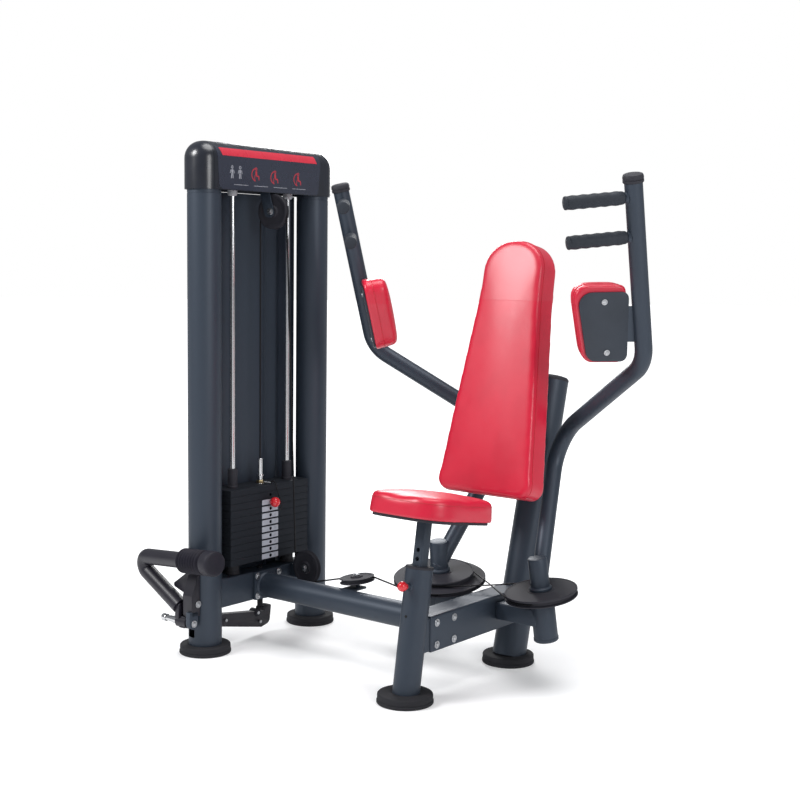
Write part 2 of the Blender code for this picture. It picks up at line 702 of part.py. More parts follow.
def lift_cable():
    """Over the top pulley, down the front, under, round the middle one to the cam."""
    up = Vector((0, 0, 1))
    route = arc(TOP_PULLEY, -TOP_WAY, up, PULLEY_GROOVE, 0, 180, 14)
    rise = MID_PULLEY.z - LOWER_PULLEY.z + PULLEY_GROOVE
    climb = math.degrees(math.atan2(rise, MID_PULLEY.x - LOWER_PULLEY.x))
    route += arc(LOWER_PULLEY, Vector((-1, 0, 0)), -up, PULLEY_GROOVE, 0, 90 + climb, 8)
    back = (Vector((0, 1, 0)) - MID_PULLEY_AXIS * MID_PULLEY_AXIS.y).normalized()
    route += arc(MID_PULLEY, back, back.cross(MID_PULLEY_AXIS), PULLEY_GROOVE, 0, cam_turn(), 3)
    across, back = disc_plane(-1)
    meet = 270 - cam_turn()
    route += arc(cam_centre(LIFT_DROP, -1), across, back, LIFT_RADIUS, meet, meet + LIFT_WRAP, 6)
    return finish(round_bar("lift_cable", route, CABLE_RADIUS, 2), RUBBER)


def sync_cable(name, left_back):
    """One of the two crossed cables that make the arms move together."""
    span = cam_centre(SYNC_DROP, 1).x - cam_centre(SYNC_DROP, -1).x
    lean = math.degrees(math.acos(2 * SYNC_RADIUS / span))
    ends = []
    for side in (-1, 1):
        across, back = disc_plane(side)
        turn = 1 if left_back == (side < 0) else -1
        ends.append(arc(cam_centre(SYNC_DROP, side), across * -side, back * turn,
                        SYNC_RADIUS, lean + SYNC_WRAP, lean, 5))
    apart = Vector((0, 0, SYNC_CABLE_RADIUS + GAP)) * (1 if left_back else -1)
    middle = ends[0][-1].lerp(ends[1][-1], 0.5) + apart
    path = ends[0] + [middle] + ends[1][::-1]
    return finish(round_bar(name, path, SYNC_CABLE_RADIUS, 2), RUBBER)


# ================================================================= the base
def leaning(origin, lean):
    """Point and unit direction of a post that leans back by lean."""
    return Vector(origin), Vector((0, math.sin(lean), math.cos(lean)))


POST_FOOT, POST_WAY = leaning((0, 0, 0), POST_LEAN)
POST_TOP = POST_FOOT + POST_WAY * POST_LENGTH
POST_FRONT = Vector((0, -math.cos(POST_LEAN), math.sin(POST_LEAN)))
REAR_FOOT, REAR_WAY = leaning((0, REAR_POST_Y, 0), REAR_POST_LEAN)
REAR_TOP = REAR_FOOT + REAR_WAY * REAR_POST_LENGTH
BASE_BEAM_TOP = BASE_BEAM_BOTTOM + BASE_BEAM_HEIGHT
SEAT_ORIGIN = POST_TOP + POST_WAY * SEAT_RISE
PLUNGER_Z = POST_LENGTH - PLUNGER_BELOW_TOP
SEAT_BORE = SEAT_TUBE_SIDE / 2 + RUN


def above_foot(obj, x, y):
    """Cut a leaning post level with the top of its foot."""
    return cut(obj, box(obj.name + "_level", (x - 0.2, y - 0.2, -0.2),
                        (x + 0.2, y + 0.2, FOOT_HEIGHT + GAP)))


def seat_post():
    obj = cylinder("seat_post", POST_RADIUS, POST_FOOT - POST_WAY * 0.02, POST_TOP, 32)
    weld(obj, box("base_stub", (-BASE_BEAM_WIDTH / 2 + 0.004, 0.020, BASE_BEAM_BOTTOM + 0.004),
                  (BASE_BEAM_WIDTH / 2 - 0.004, BASE_BEAM_FRONT - GAP, BASE_BEAM_TOP - 0.004)))
    plunger = POST_FOOT + POST_WAY * PLUNGER_Z
    weld(obj, cylinder("plunger_collar", 0.0095, plunger, plunger + POST_FRONT * (POST_RADIUS + 0.014), 16))
    above_foot(obj, 0, 0)
    place = axes(POST_TOP, (1, 0, 0), POST_WAY)
    depth = SEAT_TUBE_IN_POST + 0.11
    cut(obj, box("seat_tube_bore", (-SEAT_BORE, -SEAT_BORE, -depth), (SEAT_BORE, SEAT_BORE, 0.02), place))
    cut(obj, cylinder("plunger_bore", PLUNGER_RADIUS + RUN, plunger,
                      plunger + POST_FRONT * (POST_RADIUS + 0.05), 12))
    return finish(obj, PAINT)


def main_beam():
    """Tube from the tower to the base, with its flange and the middle pulley's tab."""
    start = BEAM_FRONT + GAP
    obj = cylinder("main_beam", MAIN_BEAM_RADIUS, (start, MAIN_BEAM_Y, MAIN_BEAM_Z),
                   (-BASE_BEAM_WIDTH / 2 - GAP, MAIN_BEAM_Y, MAIN_BEAM_Z), 28)
    weld(obj, box("beam_flange", (start, TOWER_Y - FLANGE_LENGTH / 2, BEAM_BOTTOM),
                  (start + FLANGE_THICKNESS, TOWER_Y + FLANGE_LENGTH / 2, BEAM_TOP)))
    low = MID_PULLEY.z - PULLEY_THICKNESS / 2 - 0.012
    axis = MID_PULLEY_AXIS
    weld(obj, box("mid_pulley_tab", (MID_PULLEY.x - 0.022, MAIN_BEAM_Y, low - 0.007),
                  (MID_PULLEY.x + 0.022, MID_PULLEY.y + 0.020, low)))
    weld(obj, cylinder("mid_pulley_pin", PULLEY_BOLT, MID_PULLEY - axis * 0.027,
                       MID_PULLEY + axis * (PULLEY_THICKNESS / 2 + 0.002), 16))
    return finish(obj, PAINT)


def base_beam():
    obj = box("base_beam", (-BASE_BEAM_WIDTH / 2, BASE_BEAM_FRONT, BASE_BEAM_BOTTOM),
              (BASE_BEAM_WIDTH / 2, REAR_POST_Y + 0.05, BASE_BEAM_TOP))
    cut(obj, cylinder("post_seat", COLUMN_RADIUS + GAP, REAR_FOOT - REAR_WAY * 0.05,
                      REAR_FOOT + REAR_WAY * 0.5, 32))
    cut(obj, cylinder("beam_front_seat", POST_RADIUS + GAP, POST_FOOT, POST_FOOT + POST_WAY * 0.5, 32))
    cut(obj, box("beam_past_post", (-0.1, REAR_POST_Y + 0.05, 0), (0.1, REAR_POST_Y + 0.3, 0.4)))
    behind = box("beam_behind_post", (-0.1, 0, -0.1), (0.1, 0.3, 0.6),
                 axes(REAR_FOOT, (1, 0, 0), REAR_WAY))
    cut(obj, behind)
    return finish(obj, PAINT)


def rear_post():
    obj = cylinder("rear_post", COLUMN_RADIUS, REAR_FOOT - REAR_WAY * 0.03, REAR_TOP, 32)
    above_foot(obj, 0, REAR_POST_Y)
    for i, drop in enumerate(BACK_BOSS_HEIGHTS):
        start = REAR_TOP - REAR_WAY * (drop * 0.36)
        facing = Vector((0, -math.cos(BACK_LEAN), math.sin(BACK_LEAN)))
        plate_back = BACK_BOTTOM - facing * (BACK_THICKNESS + GAP + BACK_PLATE_THICKNESS + GAP)
        reach = (start - plate_back).dot(-facing)
        weld(obj, cylinder(f"back_boss_{i}", BACK_BOSS_RADIUS, start, start + facing * reach, 20))
    return finish(obj, PAINT)


# ============================================================ seat and back
def seat_frame(lift):
    """Placement in the seat's plane, lift above the underside of the pan."""
    return axes(SEAT_ORIGIN + POST_WAY * lift, (1, 0, 0), POST_WAY)


def seat_outline(margin):
    half, length, radius = SEAT_WIDTH / 2 - margin, SEAT_LENGTH / 2 - margin, SEAT_CORNER - margin
    return rounded([(-half, SEAT_SETBACK - length, radius), (half, SEAT_SETBACK - length, radius),
                    (half, SEAT_SETBACK + length, radius * 0.8), (-half, SEAT_SETBACK + length, radius * 0.8)], 5)


def seat_tube():
    half = SEAT_TUBE_SIDE / 2
    obj = box("seat_tube", (-half, -half, -SEAT_RISE - SEAT_TUBE_IN_POST), (half, half, 0.004),
              seat_frame(0))
    weld(obj, sheet("seat_pan", seat_outline(PAN_MARGIN), PAN_THICKNESS, seat_frame(PAN_THICKNESS / 2)))
    plunger = POST_FOOT + POST_WAY * PLUNGER_Z
    for step in range(-3, 5):
        z = plunger + POST_WAY * (step * SEAT_HOLE_PITCH)
        cut(obj, cylinder(f"seat_hole_{step}", SEAT_HOLE_RADIUS, z + POST_FRONT * 0.004,
                          z + POST_FRONT * 0.03, 10))
    return finish(obj, PAINT)


def seat_pad():
    middle = PAN_THICKNESS + GAP + SEAT_PAD_THICKNESS / 2
    obj = sheet("seat_pad", seat_outline(0), SEAT_PAD_THICKNESS, seat_frame(middle))
    return finish(obj, RED_VINYL)


def seat_plunger():
    """Spring pin with a red knob that locks the seat tube."""
    tip = SEAT_TUBE_SIDE / 2 + 0.0005
    stop = POST_RADIUS + 0.014 + GAP - tip
    profile = [(0.0, stop + 0.027), (PLUNGER_KNOB_RADIUS * 0.7, stop + 0.026),
               (PLUNGER_KNOB_RADIUS, stop + 0.020), (PLUNGER_KNOB_RADIUS, stop + 0.012),
               (PLUNGER_KNOB_RADIUS * 0.6, stop), (PLUNGER_RADIUS, stop), (PLUNGER_RADIUS, 0.0), (0.0, 0.0)]
    start = POST_FOOT + POST_WAY * PLUNGER_Z + POST_FRONT * tip
    return finish(turned("seat_plunger", profile, along(start, start + POST_FRONT), 16), RED_PLASTIC)


def back_outline(margin):
    top, bottom = BACK_WIDTH_TOP / 2 - margin, BACK_WIDTH_BOTTOM / 2 - margin
    radius = BACK_CORNER - margin / 2
    neck, height = BACK_WIDTH_NECK / 2 - margin, BACK_LENGTH - BACK_NECK_DROP
    return rounded([(-bottom, margin, radius * 0.6), (bottom, margin, radius * 0.6),
                    (neck, height, BACK_NECK_RADIUS),
                    (top, BACK_LENGTH - margin, radius * 1.55), (-top, BACK_LENGTH - margin, radius * 1.55),
                    (-neck, height, BACK_NECK_RADIUS)], 5)


def back_frame(depth):
    """Placement in the back rest's plane, depth behind its front face."""
    facing = Vector((0, -math.cos(BACK_LEAN), math.sin(BACK_LEAN)))
    return axes(BACK_BOTTOM - facing * depth, (1, 0, 0), facing)


def back_pad():
    return finish(sheet("back_pad", back_outline(0), BACK_THICKNESS, back_frame(BACK_THICKNESS / 2)),
                  RED_VINYL)


def back_plate():
    depth = BACK_THICKNESS + GAP + BACK_PLATE_THICKNESS / 2
    return finish(sheet("back_plate", back_outline(BACK_PLATE_MARGIN), BACK_PLATE_THICKNESS,
                        back_frame(depth)), BLACK_PLASTIC)


# ================================================================= the arms
def side_name(side):
    return "right" if side > 0 else "left"


def pivot_frame(side, drop):
    """Placement on an arm's pivot axis, drop below the disc's top face."""
    return axes(cam_centre(drop, side), (1, 0, 0), mirrored(PIVOT_AXIS, side))


def pivot_housing(side):
    name = "pivot_housing_" + side_name(side)
    top = DISC_THICKNESS + 0.003
    tip = -SPINDLE_COVER - 3 * GAP
    profile = [(0.0, tip), (SPINDLE_RADIUS, tip), (SPINDLE_RADIUS, -top),
               (HOUSING_RADIUS * 0.8, -top), (HOUSING_RADIUS, -top - 0.006),
               (HOUSING_RADIUS, -top - HOUSING_LENGTH + 0.004),
               (HOUSING_RADIUS - 0.004, -top - HOUSING_LENGTH), (0.0, -top - HOUSING_LENGTH)]
    obj = turned(name, profile, pivot_frame(side, 0), 24)
    low = BASE_BEAM_BOTTOM + 0.034
    y = PIVOT.y + 0.008
    inner, outer = BASE_BEAM_WIDTH / 2 + GAP, PIVOT.x
    span = sorted((side * inner, side * outer))
    weld(obj, box(name + "_arm", (span[0], y - HOUSING_ARM_WIDTH / 2, low),
                  (span[1], y + HOUSING_ARM_WIDTH / 2, low + 0.050)))
    return finish(obj, PAINT)


def groove(radius, drop, floor_half, rim_half, rim):
    """Profile points, top to bottom, of a cable groove round a disc."""
    floor = radius - CABLE_RADIUS - 0.0012
    return [(rim, -drop + rim_half), (floor, -drop + floor_half),
            (floor, -drop - floor_half), (rim, -drop - rim_half)]


def disc(side):
    """Cable disc under an arm's hub; the left one also carries the lift cam."""
    bore, skin = SPINDLE_RADIUS + RUN, -GAP
    profile = [(0.0, skin), (DISC_RADIUS - 0.002, skin), (DISC_RADIUS, skin - 0.002)]
    profile += groove(SYNC_RADIUS, SYNC_DROP, 0.0036, 0.0062, DISC_RADIUS)
    if side < 0:
        profile += [(CAM_RADIUS, profile[-1][1] - 0.0002)]
        profile += groove(LIFT_RADIUS, LIFT_DROP, 0.0034, 0.0046, CAM_RADIUS)
        profile += [(CAM_RADIUS, -DISC_THICKNESS)]
    else:
        profile += [(DISC_RADIUS, -0.0200), (DISC_RADIUS - 0.030, -DISC_THICKNESS)]
    profile += [(bore, -DISC_THICKNESS), (bore, -SPINDLE_COVER), (0.0, -SPINDLE_COVER)]
    name = "disc_" + side_name(side)
    return finish(turned(name, profile, pivot_frame(side, 0), 32), BLACK_PLASTIC)


def pad_frame(side, depth):
    """Placement in the pad plate's plane, depth towards the user from the tube's axis."""
    upper = (ARM_TIP - ARM_ELBOW).normalized()
    across = Vector((math.cos(PAD_TURN), math.sin(PAD_TURN), 0))
    along_tube = (upper - across * across.dot(upper)).normalized()
    away = across.cross(along_tube)
    origin = ARM_ELBOW + upper * 0.172 - away * depth
    if side > 0:
        return axes(origin, across, away)
    return axes(mirrored(origin, side), -mirrored(across, side), mirrored(away, side))


def pad_outline(margin):
    """Trapezoid with round corners, the wide side up; X runs towards the tube."""
    left, top, bottom = -0.178 - margin * 0.7, 0.029 + margin, -0.163 - margin * 0.3
    right_top, right_low = -0.036 - margin * 0.4, -0.022 - margin * 0.3
    return rounded([(left, top - 0.004, 0.034), (right_top, top, 0.018),
                    (right_low, bottom, 0.018), (left + 0.045 + margin * 0.2, bottom, 0.030)], 4)


def for_side(outline, side):
    """The left arm's sheets are drawn with X reversed, and wound the other way."""
    return outline if side > 0 else [(-x, y) for x, y in reversed(outline)]


def grip_line(side, share):
    """Root on the tube's axis and unit direction of one hand grip."""
    root = ARM_ELBOW.lerp(ARM_TIP, share)
    way = Vector((-math.cos(PAD_TURN + 0.05), -math.sin(PAD_TURN - 0.02), -GRIP_DROOP)).normalized()
    return mirrored(root, side), mirrored(way, side)


def arm(side):
    """Bent arm tube welded to its hub, with the pad plate and two bars for the grips."""
    name = "arm_" + side_name(side)
    foot_way = (ARM_KNEE - ARM_FOOT).normalized()
    corners = [ARM_FOOT - foot_way * 0.02, ARM_KNEE, ARM_ELBOW, ARM_TIP]
    path = bent_path([mirrored(p, side) for p in corners], (KNEE_BEND, ELBOW_BEND), 5)
    obj = round_bar(name, path, ARM_RADIUS, 6)
    hub = [(0.0, HUB_HEIGHT), (HUB_RADIUS - 0.003, HUB_HEIGHT), (HUB_RADIUS, HUB_HEIGHT - 0.003),
           (HUB_RADIUS, HUB_FLANGE_HEIGHT), (HUB_FLANGE_RADIUS, HUB_FLANGE_HEIGHT - 0.003),
           (HUB_FLANGE_RADIUS, 0.0), (0.0, 0.0)]
    weld(obj, turned(name + "_hub", hub, pivot_frame(side, 0), 24))
    weld(obj, sheet(name + "_pad_plate", for_side(pad_outline(0), side), PAD_PLATE_THICKNESS,
                    pad_frame(side, 0)))
    tab = [(-0.050, -0.108), (0.0, -0.108), (0.0, -0.010), (-0.050, -0.010)]
    weld(obj, sheet(name + "_pad_tab", for_side(tab, side), PAD_PLATE_THICKNESS * 0.9,
                    pad_frame(side, 0)))
    for i, share in enumerate(GRIP_HEIGHTS):
        root, way = grip_line(side, share)
        weld(obj, cylinder(f"{name}_grip_bar_{i}", GRIP_BAR_RADIUS, root,
                           root + way * (GRIP_START + GRIP_LENGTH - 0.006), 16))
    frame = pivot_frame(side, 0)
    cut(obj, box(name + "_below_hub", (-0.2, -0.2, -0.2), (0.2, 0.2, 0.0), frame))
    return finish(obj, PAINT)


def arm_pad(side):
    depth = PAD_PLATE_THICKNESS / 2 + GAP + PAD_DEPTH / 2
    return finish(sheet("arm_pad_" + side_name(side), for_side(pad_outline(PAD_MARGIN), side),
                        PAD_DEPTH, pad_frame(side, depth)), RED_VINYL)


def grip(side, index):
    """Rubber sleeve, closed at its free end."""
    bore, length, end = GRIP_BAR_RADIUS + RUN, GRIP_LENGTH, GRIP_LENGTH - 0.0055
    profile = [(0.0, length), (GRIP_RADIUS - 0.004, length), (GRIP_RADIUS, length - 0.004),
               (GRIP_RADIUS, 0.004), (GRIP_RADIUS - 0.002, 0.0), (bore, 0.0), (bore, end), (0.0, end)]
    root, way = grip_line(side, GRIP_HEIGHTS[index])
    name = ("upper", "lower")[index] + "_grip_" + side_name(side)
    start = root + way * GRIP_START
    return finish(turned(name, profile, along(start, start + way), 16), RUBBER)


# ================================================================ the lever
def lever_way():
    return (LEVER_TIP - LEVER_BEND).normalized()


def lever_handle():
    """Bent lever with its eye, and the rocker that passes through the column."""
    eye_left, eye_right = TOWER_X - 0.040, TOWER_X + 0.0045
    path = bent_path([LEVER_FOOT, LEVER_BEND, LEVER_TIP], (LEVER_BEND_RADIUS,), 6)
    obj = round_bar("lever_handle", path, LEVER_RADIUS, 6)
    at_pin = (LEVER_PIN.y, LEVER_PIN.z)
    weld(obj, cylinder("lever_eye", 0.0175, (eye_left, *at_pin), (eye_right, *at_pin), 20))
    y, z = at_pin
    link = rounded([(y - 0.0165, z - 0.0165, 0.015), (y + 0.0165, z - 0.0165, 0.015),
                    (y + 0.014, LEVER_FOOT.z + 0.012, 0.008), (y - 0.014, LEVER_FOOT.z + 0.012, 0.008)], 3)
    weld(obj, sheet("lever_link", link, 0.016, axes((eye_left + 0.0082, 0, 0), (0, 1, 0), (1, 0, 0))))
    tilt = Matrix.Rotation(-ROCKER_DROP, 4, "X")
    place = Matrix.Translation((TOWER_X - 0.012, *at_pin)) @ tilt
    high, reach = ROCKER_HEIGHT / 2, ROCKER_LENGTH
    side = rounded([(-0.012, -high, 0.0), (reach - 0.004, -high - 0.002, 0.010), (reach + 0.022, high, 0.004),
                    (reach + 0.022, high + 0.018, 0.004), (reach + 0.008, high + 0.018, 0.004),
                    (reach - 0.010, high - 0.002, 0.0), (-0.012, high, 0.0)], 3)
    rocker = sheet("rocker", side, ROCKER_WIDTH, place @ axes((0, 0, 0), (0, 1, 0), (1, 0, 0)))
    weld(obj, rocker)
    cut(obj, cylinder("lever_eye_bore", LEVER_PIN_RADIUS + RUN, (eye_left - 0.05, *at_pin),
                      (eye_right + 0.05, *at_pin), 16))
    return finish(obj, PAINT)


def lever_grip():
    """Fat grip on the lever's bar, closed at its end."""
    bore, length, outer = LEVER_RADIUS + RUN, LEVER_GRIP_LENGTH, LEVER_GRIP_RADIUS
    profile = [(0.0, length + 0.008), (outer - 0.008, length + 0.008), (outer - 0.004, length + 0.004),
               (outer - 0.004, length - 0.010), (outer, length - 0.014), (outer, 0.006),
               (outer - 0.006, 0.0), (bore, 0.0), (bore, length + GAP), (0.0, length + GAP)]
    start = LEVER_TIP - lever_way() * length
    return finish(turned("lever_grip", profile, along(start, start + lever_way()), 20), RUBBER)


def lever_pin():
    right = TOWER_X + 0.024
    return finish(cylinder("lever_pin", LEVER_PIN_RADIUS, (LEVER_PIN_LEFT, LEVER_PIN.y, LEVER_PIN.z),
                           (right, LEVER_PIN.y, LEVER_PIN.z), 16), CHROME)


def lift_jack():
    """Push rod that the rocker raises through the crossbeam against the stem."""
    reach = TOWER_Y - LEVER_PIN.y
    rocker_top = LEVER_PIN.z - reach * math.tan(ROCKER_DROP) + ROCKER_HEIGHT / 2 / math.cos(ROCKER_DROP)
    low = rocker_top + 0.0035
    profile = [(0.0, BEAM_TOP - low + 0.004), (JACK_RADIUS, BEAM_TOP - low + 0.004),
               (JACK_RADIUS, JACK_HEAD_HEIGHT), (JACK_HEAD_RADIUS, JACK_HEAD_HEIGHT - 0.002),
               (JACK_HEAD_RADIUS, 0.003), (JACK_HEAD_RADIUS * 0.6, 0.0), (0.0, 0.0)]
    return finish(turned("lift_jack", profile, Matrix.Translation((TOWER_X, TOWER_Y, low)), 16), RUBBER)


# ============================================================= the assembly
def build():
    front_column()
    finish(column("rear_column", 1), PAINT)
    for name, x, y in (("front_column_foot", TOWER_X, column_y(-1)),
                       ("rear_column_foot", TOWER_X, column_y(1)),
                       ("seat_post_foot", 0, 0), ("rear_post_foot", 0, REAR_POST_Y)):
        foot(name, x, y)
    lower_crossbeam()
    top_beam()
    head_cover()
    rear_shroud()
    for name, end in (("front", -1), ("rear", 1)):
        guide_rod("guide_rod_" + name, end)
        stack_cushion("stack_cushion_" + name, end)

    for number in range(1, PLATES_AT_REST + 1):
        weight_plate(f"weight_plate_{PLATES_ON_CARRIAGE + number:02d}", PLATES_AT_REST - number)
    carriage = [weight_plate("head_plate", PLATE_COUNT - 1, sleeves=True), selector_stem()]
    for number in range(1, PLATES_ON_CARRIAGE + 1):
        carriage.append(weight_plate(f"weight_plate_{number:02d}", PLATE_COUNT - 1 - number))
    carriage.append(pin_lanyard())
    moving("carriage_slide", (TOWER_X, TOWER_Y, STACK_BOTTOM), carriage)
    pin = selector_pin()
    moving("selector_slide", (STACK_FRONT, TOWER_Y, pin_height(PLATES_AT_REST)), [pin])

    moving("top_pulley_axle", TOP_PULLEY, [pulley("top_pulley", TOP_PULLEY, TOP_PULLEY_AXIS)])
    moving("lower_pulley_axle", LOWER_PULLEY, [pulley("lower_pulley", LOWER_PULLEY, (0, 1, 0))])
    moving("mid_pulley_axle", MID_PULLEY, [pulley("mid_pulley", MID_PULLEY, MID_PULLEY_AXIS)])
    stem_cable()
    lift_cable()
    sync_cable("sync_cable_upper", True)
    sync_cable("sync_cable_lower", False)

    main_beam()
    seat_post()
    base_beam()
    rear_post()
    back_plate()
    back_pad()
    moving("seat_slide", SEAT_ORIGIN, [seat_tube(), seat_pad()])
    moving("plunger_slide", POST_FOOT + POST_WAY * PLUNGER_Z, [seat_plunger()])

    for side in (1, -1):
        pivot_housing(side)
        pieces = [arm(side), disc(side), arm_pad(side), grip(side, 0), grip(side, 1)]
        moving("arm_pivot_" + side_name(side), cam_centre(0, side), pieces)

    moving("lever_pivot", LEVER_PIN, [lever_handle(), lever_grip()])
    lever_pin()
    moving("jack_slide", (TOWER_X, TOWER_Y, BEAM_BOTTOM), [lift_jack()])
    bpy.context.view_layer.update()


clear_scene()
PARTS = new_collection("chest_fly_machine")
TOOLS = new_collection("cutters")
build()
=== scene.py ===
"""Looks of the seated chest-fly machine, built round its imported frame.

Metres, +Z up.  The origin is the floor under the seat post, -Y is the way the
user faces and the weight tower stands at -X.  Each class makes one assembly.
"""
from __future__ import annotations

import enum
import logging
import math
from dataclasses import dataclass, field
from typing import Callable, Iterable, Sequence

import bmesh
import bpy
from mathutils import Matrix, Vector
from mathutils.bvhtree import BVHTree


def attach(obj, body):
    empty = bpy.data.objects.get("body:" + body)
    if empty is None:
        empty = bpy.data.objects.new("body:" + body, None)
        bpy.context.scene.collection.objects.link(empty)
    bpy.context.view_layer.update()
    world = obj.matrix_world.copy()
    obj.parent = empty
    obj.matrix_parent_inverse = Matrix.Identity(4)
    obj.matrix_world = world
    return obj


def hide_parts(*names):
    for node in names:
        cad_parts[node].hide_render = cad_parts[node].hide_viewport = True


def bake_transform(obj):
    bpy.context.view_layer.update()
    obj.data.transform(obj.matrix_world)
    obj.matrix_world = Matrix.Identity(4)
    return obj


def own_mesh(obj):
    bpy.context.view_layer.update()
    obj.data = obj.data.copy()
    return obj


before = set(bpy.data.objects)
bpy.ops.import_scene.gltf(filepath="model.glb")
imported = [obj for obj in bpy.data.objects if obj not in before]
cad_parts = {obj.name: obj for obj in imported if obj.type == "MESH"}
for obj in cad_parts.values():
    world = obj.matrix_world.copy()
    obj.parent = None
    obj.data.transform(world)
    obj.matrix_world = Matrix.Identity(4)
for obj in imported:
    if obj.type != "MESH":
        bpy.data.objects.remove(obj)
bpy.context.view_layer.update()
LOG = logging.getLogger("scene")

Colour = tuple[float, float, float]
Point = Sequence[float]
Profile = Sequence[tuple[float, float]]
X, Y, Z = Vector((1, 0, 0)), Vector((0, 1, 0)), Vector((0, 0, 1))


# =================================================================== shading
class Signal:
    """A value inside a material, which arithmetic turns into math nodes."""

    def __init__(self, graph: Graph, socket: bpy.types.NodeSocket) -> None:
        """Hold one output socket of a node."""
        self.graph, self.socket = graph, socket

    def _math(self, operation: str, first: object, second: object = 0.0) -> Signal:
        """Combine two values by a math node."""
        return self.graph.node("ShaderNodeMath", {0: first, 1: second}, operation=operation).out(0)

    def __add__(self, other: object) -> Signal:
        """Add a value or another signal."""
        return self._math("ADD", self, other)

    def __sub__(self, other: object) -> Signal:
        """Take away a value or another signal."""
        return self._math("SUBTRACT", self, other)

    def __rsub__(self, other: object) -> Signal:
        """Take this signal away from a value."""
        return self._math("SUBTRACT", other, self)

    def __mul__(self, other: object) -> Signal:
        """Multiply by a value or another signal."""
        return self._math("MULTIPLY", self, other)

    __radd__, __rmul__ = __add__, __mul__

    def step(self, low: float, high: float) -> Signal:
        """Smooth 0 to 1 as this value goes from low to high.

        Args:
            low: value that gives 0.
            high: value that gives 1; it may be the smaller of the two.

        Returns:
            The stepped value.
        """
        made = self.graph.node("ShaderNodeMapRange", {0: self, 1: low, 2: high},
                               interpolation_type="SMOOTHSTEP")
        return made.out(0)


class MadeNode:
    """A node just added, with its outputs at hand."""

    def __init__(self, graph: Graph, node: bpy.types.Node) -> None:
        """Hold one node of a material."""
        self.graph, self.node = graph, node

    def out(self, key: int | str) -> Signal:
        """One of its outputs, as a signal."""
        return Signal(self.graph, self.node.outputs[key])


class Graph:
    """A material's nodes."""

    def __init__(self, name: str) -> None:
        """Start a material with its shader.

        Args:
            name: the material's name.
        """
        self.material = bpy.data.materials.new(name)
        self.material.use_nodes = True
        self.tree = self.material.node_tree
        self.tree.nodes.clear()
        self.shader = self.node("ShaderNodeBsdfPrincipled")
        self.node("ShaderNodeOutputMaterial", {0: self.shader.out(0)})

    def node(self, kind: str, inputs: dict | None = None, **settings: object) -> MadeNode:
        """Add a node.

        Args:
            kind: the node's type name.
            inputs: values or signals by input name or number.
            settings: the node's own properties.

        Returns:
            The new node.
        """
        node = self.tree.nodes.new(kind)
        for key, value in settings.items():
            setattr(node, key, value)
        made = MadeNode(self, node)
        self.feed(made, inputs or {})
        return made

    def feed(self, made: MadeNode, inputs: dict) -> None:
        """Link or set a node's inputs.

        Args:
            made: the node.
            inputs: a signal or a plain value for each input.
        """
        for key, value in inputs.items():
            socket = made.node.inputs[key]
            if isinstance(value, Signal):
                self.tree.links.new(value.socket, socket)
            else:
                socket.default_value = value

    def place(self) -> Signal:
        """Place on the piece, in its own axes."""
        return self.node("ShaderNodeTexCoord").out("Object")

    def axis(self, which: int) -> Signal:
        """One coordinate on the piece, 0 to 2 for X to Z."""
        return self.node("ShaderNodeSeparateXYZ", {0: self.place()}).out(which)

    def noise(self, scale: float, detail: float = 3.0, stretch: Point = (1, 1, 1)) -> Signal:
        """Soft noise, its grain stretched along an axis if asked."""
        at = self.node("ShaderNodeVectorMath", {0: self.place(), 1: stretch}, operation="MULTIPLY")
        return self.node("ShaderNodeTexNoise", {"Vector": at.out(0), "Scale": scale, "Detail": detail}).out(0)

    def cells(self, scale: float, feature: str = "F1") -> Signal:
        """Distance from the nearest of many scattered points."""
        return self.node("ShaderNodeTexVoronoi", {"Vector": self.place(), "Scale": scale},
                         feature=feature).out("Distance")

    def mix(self, share: object, first: object, second: object) -> Signal:
        """Blend two colours.

        Args:
            share: 0 for the first, 1 for the second.
            first: one colour.
            second: the other colour.

        Returns:
            The blend.
        """
        node = self.node("ShaderNodeMix", data_type="RGBA")
        self.feed(node, {0: share, 6: first, 7: second})
        return node.out(2)

    def bump(self, height: Signal, strength: float, distance: float, below: Signal | None = None) -> Signal:
        """Raise the surface by a signal.

        Args:
            height: the signal.
            strength: how far the bump shows, 0 to 1.
            distance: height of a full bump, in metres.
            below: a normal that this one is laid over.

        Returns:
            The bent normal.
        """
        inputs = {"Height": height, "Strength": strength, "Distance": distance}
        if below is not None:
            inputs["Normal"] = below
        return self.node("ShaderNodeBump", inputs).out(0)


